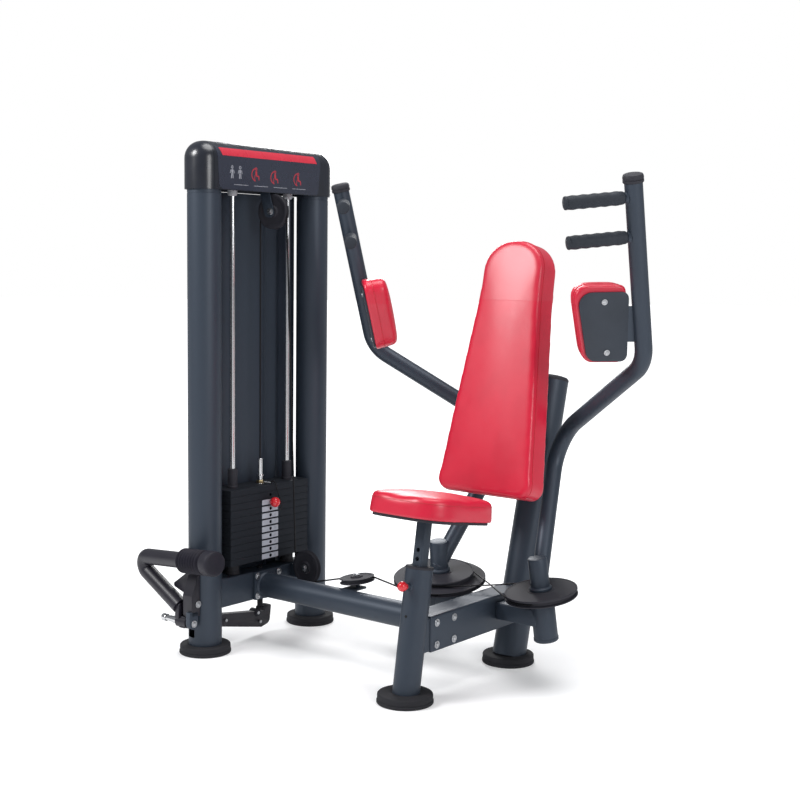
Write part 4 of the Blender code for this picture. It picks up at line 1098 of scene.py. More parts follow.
REAR_LEAN = math.radians(14.2)
REAR_WAY = Vector((0, math.sin(REAR_LEAN), math.cos(REAR_LEAN)))
REAR_TOP = REAR_FOOT + REAR_WAY * 0.878
BACK_LEAN = math.radians(12.2)
BACK_FACING = Vector((0, -math.cos(BACK_LEAN), math.sin(BACK_LEAN)))
BACK_BOTTOM = Vector((0.0, 0.334, 0.535))
PIVOT = Vector((0.1814, 0.3918, 0.2718))
PIVOT_AXIS = Vector((-0.0599, -0.1486, 1.0)).normalized()
ARM = tuple(Vector(p) for p in ((0.1814, 0.3802, 0.2848), (0.0857, 0.6204, 0.6814),
                                (0.4741, 0.4238, 0.9341), (0.4988, 0.2858, 1.4250)))
PAD_TURN = math.radians(48.3)
LEVER_PIN = Vector((-0.766, -0.0950, 0.1050))
LEVER = tuple(Vector(p) for p in ((-0.802, -0.0930, 0.1500), (-1.026, -0.0880, 0.2760),
                                  (-0.612, -0.132, 0.3150)))


def side_name(side: int) -> str:
    """Word for a side."""
    return "right" if side > 0 else "left"


def pin_height(layer: int) -> float:
    """Height of the pin bore in a layer of the stack."""
    return STACK_BOTTOM + (layer + 0.5) * PITCH


@dataclass
class Fasteners:
    """Every bolt and screw, gathered by kind and body and made at the end.

    Attributes:
        sets: one repeater for each kind and body.
    """

    sets: dict[tuple[Hardware, str], Repeater] = field(default_factory=dict)

    def add(self, kind: Hardware, body: str, point: Point, facing: Point) -> None:
        """Set one bolt, to be made with the others of its kind.

        Args:
            kind: which bolt.
            body: the CAD body it moves with.
            point: middle of its seat.
            facing: the way its head points.
        """
        key = (kind, body)
        if key not in self.sets:
            self.sets[key] = Repeater(f"{body}_{kind.name.lower()}_bolts", kind.make())
        self.sets[key].add(point, facing)

    def build(self) -> None:
        """Make all bolts, one mesh for each kind and body."""
        for (kind, body), repeater in self.sets.items():
            look = Look.BLACK if kind is Hardware.SMALL else Look.ZINC
            repeater.build(look, body, "chrome_rod")


# =================================================================== studio
@dataclass
class Studio:
    """Camera, lights and floor.

    Attributes:
        eye: where the camera stands.
        gaze: where it looks.
        roll: its turn about its own axis, in radians.
        lens: focal length, in millimetres.
        aim: the point that every lamp faces.
        lamps: (name, place, width, watts) of each lamp.
        sky: strength of the sky as a light.
        floor_reach: radius of the floor.
        glow_from: where the floor starts to fade to white.
        glow_to: where it is white.
        bounce: share of that glow which falls on the machine.
    """

    eye: Point = (2.21410328, -2.82196534, 1.19417721)
    gaze: Point = (-0.61927398, 0.77869518, -0.10066556)
    roll: float = 0.01199907
    lens: float = 60.57
    aim: Point = (-0.15, 0.2, 0.7)
    lamps: tuple[tuple[str, Point, float, float], ...] = (
        ("key", (-1.9, -2.4, 2.9), 1.3, 95.0), ("fill", (3.2, -0.6, 2.0), 1.6, 45.0),
        ("top", (0.2, 0.4, 4.2), 2.6, 95.0), ("rim", (-2.2, 2.6, 2.2), 1.5, 50.0))
    sky: float = 0.34
    floor_reach: float = 40.0
    glow_from: float = 1.2
    glow_to: float = 4.5
    bounce: float = 0.35

    def camera(self) -> None:
        """Set the camera and its turn."""
        gaze = Vector(self.gaze)
        right = gaze.cross(Z).normalized()
        up = right.cross(gaze)
        turned = (right * math.cos(self.roll) + up * math.sin(self.roll),
                  -right * math.sin(self.roll) + up * math.cos(self.roll), -gaze)
        data = bpy.data.cameras.new("camera")
        data.sensor_width, data.lens = 36.0, self.lens
        obj = bpy.data.objects.new("camera", data)
        obj.matrix_world = Matrix.Translation(self.eye) @ Matrix(turned).transposed().to_4x4()
        bpy.context.scene.collection.objects.link(obj)
        bpy.context.scene.camera = obj

    def lamp(self, name: str, spot: Point, size: float, power: float) -> None:
        """Add one round lamp that faces the aim.

        Args:
            name: the lamp's name.
            spot: where it stands.
            size: its width, in metres.
            power: its power, in watts.
        """
        data = bpy.data.lights.new(name, "AREA")
        data.shape, data.size, data.energy = "DISK", size, power
        obj = bpy.data.objects.new(name, data)
        obj.location = spot
        obj.rotation_euler = (Vector(self.aim) - Vector(spot)).to_track_quat("-Z", "Y").to_euler()
        bpy.context.scene.collection.objects.link(obj)

    def floor(self) -> None:
        """Lay a pale floor that fades to white."""
        graph = Graph("studio_floor")
        speckle = graph.noise(3.0, 2.0)
        tone = graph.mix(speckle, (0.86, 0.86, 0.87, 1.0), (0.90, 0.90, 0.90, 1.0))
        reach = graph.node("ShaderNodeVectorMath", {0: graph.place()}, operation="LENGTH").out("Value")
        glow = graph.mix(reach.step(self.glow_from, self.glow_to), (0.20, 0.20, 0.20, 1.0), (1.0, 1.0, 1.0, 1.0))
        seen = graph.node("ShaderNodeLightPath").out("Is Camera Ray")
        glow = graph.mix(seen, graph.mix(self.bounce, (0.0, 0.0, 0.0, 1.0), glow), glow)
        graph.feed(graph.shader, {"Base Color": tone, "Roughness": 0.75, "Emission Color": glow,
                                  "Emission Strength": 1.0})
        work = bmesh.new()
        bmesh.ops.create_circle(work, cap_ends=True, radius=self.floor_reach, segments=96)
        floor = Shop.wrap("studio_floor", work, Matrix.Translation((0, 0, -0.0006)))
        floor.data.materials.append(graph.material)

    def world(self) -> None:
        """Light from a pale sky, seen as white paper."""
        world = bpy.data.worlds.new("studio")
        bpy.context.scene.world = world
        world.use_nodes = True
        nodes, links = world.node_tree.nodes, world.node_tree.links
        sky = nodes["Background"]
        sky.inputs["Color"].default_value = (0.93, 0.96, 1.0, 1.0)
        sky.inputs["Strength"].default_value = self.sky
        paper = nodes.new("ShaderNodeBackground")
        paper.inputs["Color"].default_value = (1.0, 1.0, 1.0, 1.0)
        rays, choice = nodes.new("ShaderNodeLightPath"), nodes.new("ShaderNodeMixShader")
        links.new(rays.outputs["Is Camera Ray"], choice.inputs[0])
        links.new(sky.outputs[0], choice.inputs[1])
        links.new(paper.outputs[0], choice.inputs[2])
        links.new(choice.outputs[0], nodes["World Output"].inputs[0])
        bpy.context.scene.view_settings.view_transform = "Standard"

    def build(self) -> None:
        """Set the camera, the sky, the floor and the lamps."""
        self.camera()
        self.world()
        self.floor()
        for lamp in self.lamps:
            self.lamp(*lamp)


# ==================================================================== tower
@dataclass
class Tower:
    """Columns, feet, beams, guide rods and the folded sheet at the back.

    Attributes:
        bolts: where its bolts are gathered.
        half_width: half width of the beams between the columns.
        fit: gap between pieces that seat on each other.
        bore: inner radius of a column.
        column_top: top of the columns, inside the cover.
        bracket_width: width of the lever bracket.
        wing_thickness: thickness of its wing.
        ear_thickness: thickness of the ear that holds the lever pin.
        pin_bore: radius of the ear's bore.
        top_beam_span: underside and top of the upper beam.
        cheek_reach: from the top pulley's middle to a cheek.
        axle: radius of the pulley axles.
        rod_top: top of the guide rods.
        sheet_back: rear sheet behind the columns' middle.
        sheet_half: half the sheet's thickness.
        tab_spread: from the middle to each of the sheet's tabs.
        fold: half the sheet's section, from its middle.
        shoe: outer side of a foot, from its top.
    """

    bolts: Fasteners
    half_width: float = 0.030
    fit: float = 0.0003
    bore: float = 0.0478
    column_top: float = 1.482
    bracket_width: float = 0.040
    wing_thickness: float = 0.006
    ear_thickness: float = 0.018
    pin_bore: float = 0.0083
    top_beam_span: tuple[float, float] = (1.413, 1.463)
    cheek_reach: float = 0.014
    axle: float = 0.006
    rod_top: float = 1.4127
    sheet_back: float = 0.0655
    sheet_half: float = 0.0010
    tab_spread: float = 0.110
    fold: Profile = (
        (0.000, 0.0095), (0.066, 0.0095), (0.070, 0.0020), (0.078, 0.0020), (0.083, 0.0095),
        (0.126, 0.0095), (0.150, 0.0000), (0.186, 0.0000), (0.196, 0.0090), (0.2115, 0.0100))
    shoe: Profile = (
        (0.0715, 0.0272), (0.0750, 0.0264), (0.0768, 0.0244), (0.0772, 0.0220), (0.0772, 0.0112),
        (0.0765, 0.0102), (0.0766, 0.0092), (0.0784, 0.0086), (0.0790, 0.0070), (0.0790, 0.0020),
        (0.0774, 0.0), (0.0, 0.0))

    def foot(self, name: str, x: float, y: float, collar: float) -> None:
        """Rubber shoe under a post.

        Args:
            name: the piece's name.
            x: its middle, left to right.
            y: its middle, front to back.
            collar: radius of the post's seat in its top.
        """
        profile = [(0.0, 0.0268), (collar, 0.0268), (collar + 0.001, 0.0272), *self.shoe]
        shoe = Shop.lathe(name, profile, Matrix.Translation((x, y, 0)), 96)
        show(paint(shoe, Look.RUBBER), "frame", (name,))

    def column(self, name: str, y: float) -> bpy.types.Object:
        """Tube with a groove below the cover.

        Args:
            name: the piece's name.
            y: its middle, front to back.

        Returns:
            The tube.
        """
        profile = [(self.bore, self.column_top), (COLUMN_RADIUS, self.column_top),
                   (COLUMN_RADIUS, 1.3985), (0.0501, 1.3978), (0.0501, 1.3962),
                   (COLUMN_RADIUS, 1.3955), (COLUMN_RADIUS, FOOT_TOP), (self.bore, FOOT_TOP)]
        tube = Shop.lathe(name, profile, Matrix.Translation((TOWER_X, y, 0)), 96)
        return paint(tube, Look.PAINT)

    def front_column(self) -> None:
        """Column with its slot, lever bracket, ear and wing."""
        tube = self.column("column_front", COLUMN_YS[0])
        face = COLUMN_YS[0] - COLUMN_RADIUS
        slot = Shop.block("slot", (TOWER_X - 0.030, face - 0.010, 0.053),
                          (TOWER_X + 0.006, COLUMN_YS[0] + 0.071, 0.128), 0.004)
        Shop.boolean(tube, [slot], "DIFFERENCE")
        paint(tube, Look.PAINT)
        side = rounded([(face + 0.004, 0.126, 0.0), (face - 0.030, 0.126, 0.004), (face - 0.030, 0.190, 0.006),
                        (face - 0.006, 0.250, 0.006), (face + 0.004, 0.250, 0.0)], 4)
        across = axes((TOWER_X + 0.008, 0, 0), Y, X)
        bracket = paint(Shop.plate("bracket", side, self.bracket_width, across, 0.0022, 3), Look.LILAC)
        y, z = LEVER_PIN.y, LEVER_PIN.z
        ear_side = rounded([(y - 0.017, z - 0.017, 0.016), (y + 0.017, z - 0.017, 0.016),
                            (y + 0.017, 0.142, 0.0), (y - 0.017, 0.142, 0.0)])
        ear = Shop.plate("ear", ear_side, self.ear_thickness, axes((TOWER_X + 0.019, 0, 0), Y, X), 0.0015)
        bore = Shop.rod("bore", self.pin_bore, (TOWER_X + 0.009, y, z), (TOWER_X + 0.040, y, z))
        ear = paint(Shop.boolean(ear, [bore], "DIFFERENCE"), Look.PAINT)
        wing = rounded([(-0.740, 0.128, 0.0), (-0.740, 0.250, 0.004), (-0.792, 0.250, 0.006), (-0.846, 0.212, 0.004),
                        (-0.842, 0.203, 0.003), (-0.790, 0.186, 0.006), (-0.780, 0.128, 0.0)], 4)
        gusset = Shop.plate("wing", [(x - TOWER_X, z_) for x, z_ in wing], self.wing_thickness,
                            axes((TOWER_X, face - 0.003, 0), X, -Y), 0.0012)
        gusset = paint(gusset, Look.LILAC)
        show(Shop.join("column_front", [tube, bracket, ear, gusset]), "frame", ("front_column",))
        self.bolts.add(Hardware.HEX, "frame", (TOWER_X + 0.0282, face - 0.004, 0.1625), X)
        self.bolts.add(Hardware.HEX, "frame", (TOWER_X + 0.0285, y, z), X)

    def between(self, name: str, low: float, high: float) -> bpy.types.Object:
        """Beam between the columns, its ends cut to fit them.

        Args:
            name: the piece's name.
            low: its underside.
            high: its top.

        Returns:
            The beam.
        """
        beam = Shop.block(name, (TOWER_X - self.half_width, COLUMN_YS[0], low),
                          (TOWER_X + self.half_width, COLUMN_YS[1], high), 0.0045)
        ends = [Shop.rod(f"end_{i}", COLUMN_RADIUS + self.fit, (TOWER_X, y, low - 0.02),
                         (TOWER_X, y, high + 0.02), 96)
                for i, y in enumerate(COLUMN_YS)]
        return Shop.boolean(beam, ends, "DIFFERENCE")

    def crossbeam(self) -> None:
        """Lower beam, with the lower pulley's tab and axle."""
        beam = self.between("crossbeam", BEAM_BOTTOM, BEAM_TOP)
        jack = Shop.rod("jack_bore", 0.0098, (TOWER_X, TOWER_Y, 0.1), (TOWER_X, TOWER_Y, 0.25))
        beam = paint(Shop.boolean(beam, [jack], "DIFFERENCE"), Look.PAINT)
        y = LOWER_PULLEY.y + 0.014
        pieces = [beam, Shop.block("tab", (BEAM_FRONT - 0.005, y, LOWER_PULLEY.z - 0.045),
                                   (LOWER_PULLEY.x + 0.018, y + 0.008, LOWER_PULLEY.z - 0.0026)),
                  Shop.rod("eye", 0.018, (LOWER_PULLEY.x, y, LOWER_PULLEY.z),
                           (LOWER_PULLEY.x, y + 0.008, LOWER_PULLEY.z), 40),
                  Shop.rod("axle", self.axle, (LOWER_PULLEY.x, y + 0.004, LOWER_PULLEY.z),
                           (LOWER_PULLEY.x, y - 0.027, LOWER_PULLEY.z))]
        for piece in pieces[1:]:
            paint(piece, Look.PAINT)
        show(Shop.join("crossbeam", pieces), "frame", ("lower_crossbeam",))
        self.bolts.add(Hardware.HEX, "frame", (LOWER_PULLEY.x, y - 0.0265, LOWER_PULLEY.z), -Y)
        self.bolts.add(Hardware.HEX, "frame", (LOWER_PULLEY.x, y + 0.0082, LOWER_PULLEY.z), Y)

    def top_beam(self) -> None:
        """Upper beam, with the top pulley's cheeks and axle."""
        pieces = [self.between("beam_top", *self.top_beam_span)]
        reach, height = self.cheek_reach, self.top_beam_span[0] + 0.010 - TOP_PULLEY.z
        cheek = rounded([(-0.018, -0.018, 0.014), (0.018, -0.018, 0.014), (-0.008, height, 0.0),
                         (-0.044, height, 0.0)])
        for low in (-reach - 0.004, reach):
            place = axes(TOP_PULLEY + TOP_AXIS * (low + 0.002), TOP_WAY, -TOP_AXIS)
            pieces.append(Shop.plate("cheek", cheek, 0.004, place, 0.0008))
        pieces.append(Shop.rod("axle", self.axle, TOP_PULLEY - TOP_AXIS * (reach + 0.002),
                               TOP_PULLEY + TOP_AXIS * (reach + 0.002)))
        for piece in pieces:
            paint(piece, Look.PAINT)
        show(Shop.join("beam_top", pieces), "frame", ("top_beam",))
        for end in (-1, 1):
            self.bolts.add(Hardware.HEX, "frame", TOP_PULLEY + TOP_AXIS * end * (reach + 0.0042), TOP_AXIS * end)

    def shroud(self) -> None:
        """Folded sheet with a narrow gap to each column."""
        right = [(TOWER_Y + y, TOWER_X - self.sheet_back + x) for y, x in self.fold]
        left = [(2 * TOWER_Y - y, x) for y, x in reversed(right[1:])]
        line = left + right
        outline = [(x + self.sheet_half, y) for y, x in line]
        outline += [(x - self.sheet_half, y) for y, x in reversed(line)]
        low, high = BEAM_BOTTOM + 0.050, HEAD_BOTTOM - 0.001
        sheet = Shop.plate("shroud", outline, high - low, Matrix.Translation((0, 0, (low + high) / 2)), 0.0)
        pieces = [paint(sheet, Look.PAINT)]
        for end in (-self.tab_spread, self.tab_spread):
            pieces.append(paint(Shop.block("tab", (TOWER_X - 0.066, TOWER_Y + end - 0.012, BEAM_TOP - 0.030),
                                           (TOWER_X - 0.0303, TOWER_Y + end + 0.012, BEAM_TOP - 0.010)), Look.PAINT))
        show(Shop.join("shroud", pieces), "frame", ("rear_shroud",), 20.0)

    def rods(self) -> None:
        """Guide rods, their sockets and the cushions below the stack."""
        for end, y in zip(("front", "rear"), ROD_YS):
            rod = Shop.rod("rod_" + end, ROD_RADIUS, (TOWER_X, y, BEAM_TOP + self.fit),
                           (TOWER_X, y, self.rod_top), 48)
            show(paint(rod, Look.CHROME), "frame", ("guide_rod_" + end,))
            at = Matrix.Translation((TOWER_X, y, 0))
            socket = Shop.lathe("rod_socket_" + end, [
                (0.0150, self.rod_top), (0.0150, 1.3990), (0.0138, 1.3955), (0.0108, 1.3935),
                (0.0085, 1.3935), (0.0085, self.rod_top)], at, 48)
            show(paint(socket, Look.SOCKET), "frame")
            low, high = BEAM_TOP + self.fit, STACK_BOTTOM - self.fit
            buffer = [(0.0083, high), (0.0185, high), (0.0208, high - 0.003), (0.0220, high - 0.007),
                      (0.0205, high - 0.012), (0.0198, low + 0.012), (0.0220, low + 0.008), (0.0220, low + 0.001),
                      (0.0212, low), (0.0083, low)]
            show(paint(Shop.lathe("cushion_" + end, buffer, at, 48), Look.RUBBER), "frame",
                 ("stack_cushion_" + end,))

    def build(self) -> None:
        """Build every piece of the tower."""
        for name, x, y, collar in (("front_column_foot", TOWER_X, COLUMN_YS[0], 0.0510),
                                   ("rear_column_foot", TOWER_X, COLUMN_YS[1], 0.0510),
                                   ("seat_post_foot", 0, 0, 0.0430),
                                   ("rear_post_foot", 0, REAR_FOOT.y, 0.0560)):
            self.foot(name, x, y, collar)
        self.front_column()
        show(self.column("column_rear", COLUMN_YS[1]), "frame", ("rear_column",))
        self.crossbeam()
        self.top_beam()
        self.shroud()
        self.rods()


@dataclass
class Head:
    """Loaf-shaped cover over the columns, with a plain placard.

    Attributes:
        wall: thickness of the cover.
        seam_width: width of the two grooves across it.
        seam_out: grooves outside the columns' middles.
        skin_back: how deep a decal sinks into the cover.
        placard: lower and upper edge of the placard.
        corner: rounding of its lower corners.
        band: lower and upper edge of the red band.
        ring: radius of a figure's head.
        swing: radius of the arc of a motion.
    """

    wall: float = 0.003
    seam_width: float = 0.0010
    seam_out: float = 0.0350
    skin_back: float = 0.0004
    placard: tuple[float, float] = (1.4085, 1.5340)
    corner: float = 0.016
    band: tuple[float, float] = (1.5075, 1.5305)
    ring: float = 0.0036
    swing: float = 0.019

    @property
    def centre(self) -> Vector:
        """Middle of the cover's open underside."""
        return Vector((TOWER_X, TOWER_Y, HEAD_BOTTOM))

    def loaf(self, name: str, shrink: float) -> bpy.types.Object:
        """Rounded box in the shape of the cover.

        Args:
            name: the piece's name.
            shrink: how far inside the cover its faces lie.

        Returns:
            The box.
        """
        work = bmesh.new()
        bmesh.ops.create_cube(work, size=1.0)
        half_x, half_y = HEAD_HALF[0] - shrink, HEAD_HALF[1] - shrink
        height = HEAD_TOP - HEAD_BOTTOM - shrink
        bmesh.ops.scale(work, vec=(2 * half_x, 2 * half_y, 2 * height), verts=work.verts)
        bmesh.ops.bevel(work, geom=list(work.edges), offset=HEAD_EDGE - shrink, segments=12, profile=0.5,
                        affect="EDGES", clamp_overlap=True)
        return Shop.wrap(name, work, Matrix.Translation(self.centre))

    def front(self, z: float) -> float:
        """X of the front face at a height."""
        over = max(0.0, z - (HEAD_TOP - HEAD_EDGE))
        return TOWER_X + HEAD_HALF[0] - HEAD_EDGE + math.sqrt(max(0.0, HEAD_EDGE ** 2 - over ** 2))

    def shell(self) -> None:
        """Hollow cover with its two grooves."""
        outer = self.loaf("cover", 0.0)
        floor = Shop.block("below", (-0.2, -0.6, -0.4), (0.2, 0.6, 0.0), 0.0, Matrix.Translation(self.centre))
        Shop.boolean(outer, [self.loaf("inside", self.wall), floor], "DIFFERENCE")
        seams = []
        for y in (-self.seam_out, 2 * TOWER_Y + self.seam_out):
            slab = Shop.block("slab", (TOWER_X - 0.08, y - self.seam_width / 2, 1.39),
                              (TOWER_X + 0.08, y + self.seam_width / 2, 1.57), 0.0)
            seams.append(Shop.boolean(slab, [self.loaf("core", 0.0013)], "DIFFERENCE"))
        Shop.boolean(outer, seams, "DIFFERENCE")
        show(paint(outer, Look.HEAD), "frame", ("head_cover",), 40.0)

    def decal(self, name: str, rows: Sequence[tuple[float, float, float]], look: Look, lift: float) -> None:
        """Thin skin on the front face.

        Args:
            name: the piece's name.
            rows: (height, first Y, last Y), from low to high.
            look: its finish.
            lift: how far its outer side stands off the cover.
        """
        work = bmesh.new()
        layers = []
        for off in (lift, -self.skin_back):
            layers.append([[work.verts.new((self.front(z) + off, y0 + (y1 - y0) * k / 4, z)) for k in range(5)]
                           for z, y0, y1 in rows])
        for layer in layers:
            for low, high in zip(layer, layer[1:]):
                for k in range(4):
                    work.faces.new((low[k], low[k + 1], high[k + 1], high[k]))
        out, back = layers
        rims = ([row[0] for row in out], [row[0] for row in back]), ([row[-1] for row in out],
                [row[-1] for row in back]), (out[0], back[0]), (out[-1], back[-1])
        for one, two in rims:
            for k in range(len(one) - 1):
                work.faces.new((one[k], one[k + 1], two[k + 1], two[k]))
        show(paint(Shop.wrap(name, work), look), "frame")

    def stroke(self, points: Profile, width: float, spot: tuple[float, float], look: Look) -> bpy.types.Object:
        """Flat rounded line of a pictogram, centred on (Y, Z).

        Args:
            points: its points, as (X, Y) of the drawing.
            width: its width.
            spot: (Y, Z) of its middle on the cover.
            look: its finish.

        Returns:
            The line.
        """
        line = Shop.bar("stroke", [(x, y, 0) for x, y in points], width / 2, 10)
        line.data.transform(Matrix.Diagonal((1, 1, 0.0006 / width, 1)))
        line.data.transform(axes((self.front(spot[1]) + 0.0005, spot[0], spot[1]), Y, X))
        return paint(line, look)

    def figures(self) -> None:
        """Generic standing and seated figures."""
        ring = [(self.ring * math.cos(t * math.pi / 8), 0.0150 + self.ring * math.sin(t * math.pi / 8))
                for t in range(17)]
        stand = [(ring, 0.0028), ([(0, 0.0085), (0, -0.0020)], 0.0085),
                 ([(-0.0022, -0.003), (-0.0034, -0.018)], 0.0040),
                 ([(0.0022, -0.003), (0.0034, -0.018)], 0.0040), ([(-0.006, 0.007), (-0.0085, -0.003)], 0.0028),
                 ([(0.006, 0.007), (0.0085, -0.003)], 0.0028)]
        seated = [(ring, 0.0028), ([(0, 0.0085), (0.001, -0.0050)], 0.0080),
                  ([(0.001, -0.006), (0.011, -0.0065)], 0.0045),
                  ([(0.011, -0.0065), (0.012, -0.018)], 0.0040), ([(-0.006, -0.018), (-0.006, -0.004)], 0.0026)]
        swing = [(self.swing * math.cos(math.radians(a)), self.swing * math.sin(math.radians(a)) - 0.002)
                 for a in range(100, 261, 16)]
        sets = ((0.0380, 1.460, stand, Look.PRINT, None), (0.0710, 1.460, stand, Look.PRINT, None),
                (0.1390, 1.460, seated, Look.PRINT_RED, swing), (0.2215, 1.4555, seated, Look.PRINT_RED, swing),
                (0.3250, 1.455, seated, Look.PRINT_RED, swing))
        greys, reds = [], []
        for y, z, lines, look, extra in sets:
            home = greys if look is Look.PRINT else reds
            home += [self.stroke(points, width, (y, z), look) for points, width in lines]
            if extra:
                home.append(self.stroke(extra, 0.0034, (y, z), look))
        rule = [(-0.030, 0.0), (0.030, 0.0)]
        greys += [self.stroke(rule, 0.0018, (0.075 + 0.085 * k, 1.424), Look.PRINT) for k in range(4)]
        show(Shop.join("placard_grey_marks", greys), "frame")
        show(Shop.join("placard_red_marks", reds), "frame")

    def build(self) -> None:
        """Build the cover and what is printed on it."""
        self.shell()
        rows = []
        for k in range(25):
            share = k / 24
            rise = (self.placard[1] - self.placard[0]) * share
            z = self.placard[0] + rise
            missing = self.corner - min(self.corner, rise)
            corner = self.corner - math.sqrt(max(0.0, self.corner ** 2 - missing ** 2))
            rows.append((z, -0.0150 - 0.008 * share + corner, 0.4190 + 0.0135 * share - corner * 0.5))
        self.decal("placard", rows, Look.PLACARD, 0.0006)
        height = self.band[1] - self.band[0]
        band = [(self.band[0] + height * k / 8, -0.0010 - 0.0080 * k / 8, 0.4130 - 0.0060 * k / 8) for k in range(9)]
        self.decal("placard_band", band, Look.BAND, 0.0011)
        self.figures()


@dataclass
class Stack:
    """Weight plates, their labels, the stem and the selector pin.

    Attributes:
        label_shift: hole in a label off its middle.
        gap: gap between two plates.
        edge: rounding of a plate.
        rod_play: room round a guide rod.
        stem_bore: radius of a plate's bore for the stem.
        pin_bore: radius of the bores for the pin.
        pin_layer: layer that the pin is in, from the lowest plate.
        knob: radius of the pin's knob.
        bead: radius of a bead of the chain.
        cord: radius of the lanyard.
        knots: points that the lanyard hangs through.
    """

    label_shift: float = 0.0020
    gap: float = 0.0003
    edge: float = 0.0014
    rod_play: float = 0.0008
    stem_bore: float = 0.0133
    pin_bore: float = 0.0053
    pin_layer: int = 8
    knob: float = 0.016
    bead: float = 0.0030
    cord: float = 0.0019
    knots: tuple[Point, ...] = (
        (-0.7300, 0.2270, 0.4990), (-0.7255, 0.2275, 0.5040), (-0.7195, 0.2282, 0.5050),
        (-0.7140, 0.2292, 0.5010), (-0.7105, 0.2305, 0.4930), (-0.7085, 0.2322, 0.4830),
        (-0.7070, 0.2345, 0.4720), (-0.7055, 0.2375, 0.4610), (-0.7042, 0.2410, 0.4500),
        (-0.7030, 0.2440, 0.4390), (-0.7020, 0.2455, 0.4280), (-0.7010, 0.2445, 0.4190),
        (-0.7005, 0.2400, 0.4140), (-0.7000, 0.2345, 0.4160), (-0.7000, 0.2300, 0.4225))

    def plate(self, name: str, layer: int, bored: bool = True) -> bpy.types.Object:
        """One weight plate with its bores.

        Args:
            name: the piece's name.
            layer: its number from the lowest plate up.
            bored: whether the pin can go into it.

        Returns:
            The plate.
        """
        low = STACK_BOTTOM + layer * PITCH
        high = low + PITCH - self.gap
        plate = Shop.block(name, (STACK_X[0], STACK_Y[0], low), (STACK_X[1], STACK_Y[1], high),
                           self.edge)
        cuts = [Shop.rod(f"rod_{i}", ROD_RADIUS + self.rod_play, (TOWER_X, y, low - 0.01),
                         (TOWER_X, y, high + 0.01), 32)
                for i, y in enumerate(ROD_YS)]
        cuts.append(Shop.rod("stem", self.stem_bore, (TOWER_X, TOWER_Y, low - 0.01),
                             (TOWER_X, TOWER_Y, high + 0.01), 32))
        if bored:
            z = pin_height(layer)
            cuts.append(Shop.rod("pin", self.pin_bore, (STACK_X[0] - 0.01, TOWER_Y, z),
                                 (STACK_X[1] + 0.01, TOWER_Y, z), 24))
        return paint(Shop.boolean(plate, cuts, "DIFFERENCE"), Look.IRON)

    def plates(self) -> None:
        """Every plate below the head plate."""
        master = self.plate("plate_master", 0)
        for number in range(1, 11):
            obj = master.copy()
            obj.data = master.data.copy()
            obj.name = obj.data.name = f"plate_{number:02d}"
            obj.data.transform(Matrix.Translation((0, 0, (10 - number) * PITCH)))
            bpy.context.scene.collection.objects.link(obj)
            show(obj, "carriage" if number < 3 else "frame", (f"weight_plate_{number:02d}",))
        bpy.data.objects.remove(master)

    def head_plate(self) -> None:
        """Top plate, which always rides with the stem."""
        top = STACK_TOP - self.gap
        pieces = [self.plate("plate_head", 10, bored=False)]
        for y in ROD_YS:
            ring = [(0.0088, 0.5553), (0.0140, 0.5553), (0.0155, 0.5538), (0.0155, top + 0.008),
                    (0.0170, top + 0.006), (0.0170, top - 0.001), (0.0088, top - 0.001)]
            pieces.append(paint(Shop.lathe("sleeve", ring, Matrix.Translation((TOWER_X, y, 0)), 48), Look.BLACK))
        show(Shop.join("plate_head", pieces), "carriage", ("head_plate",))

    def labels(self) -> None:
        """Pale strips on the plates' fronts, each with a hole at the pin bore."""
        for body, numbers in (("carriage", (2,)), ("frame", range(3, 11))):
            strip = rounded([(-0.0080, -0.0362, 0.0012), (0.0080, -0.0362, 0.0012), (0.0080, 0.0362, 0.0012),
                             (-0.0080, 0.0362, 0.0012)], 3)
            part = Shop.plate("label", strip, 0.0007, Matrix.Identity(4), 0.0)
            hole = Shop.rod("hole", 0.0056, (0, self.label_shift, -0.01), (0, self.label_shift, 0.01), 28)
            Shop.boolean(part, [hole], "DIFFERENCE")
            repeater = Repeater(f"{body}_plate_labels", part)
            mark = Shop.join("mark", [Shop.block("bar", (-0.0040, y, -0.00015), (0.0040, y + 0.0016, 0.00015), 0.0)
                                      for y in (-0.0050, -0.0015, 0.0020)])
            marks = Repeater(f"{body}_label_marks", mark)
            for number in numbers:
                z = pin_height(10 - number)
                repeater.add((STACK_X[1] + 0.0003, 0.2138, z), X)
                marks.add((STACK_X[1] + 0.0007, 0.2370, z), X)
            repeater.build(Look.LABEL, body, "black_plastic")
            marks.build(Look.PRINT, body, "black_plastic")

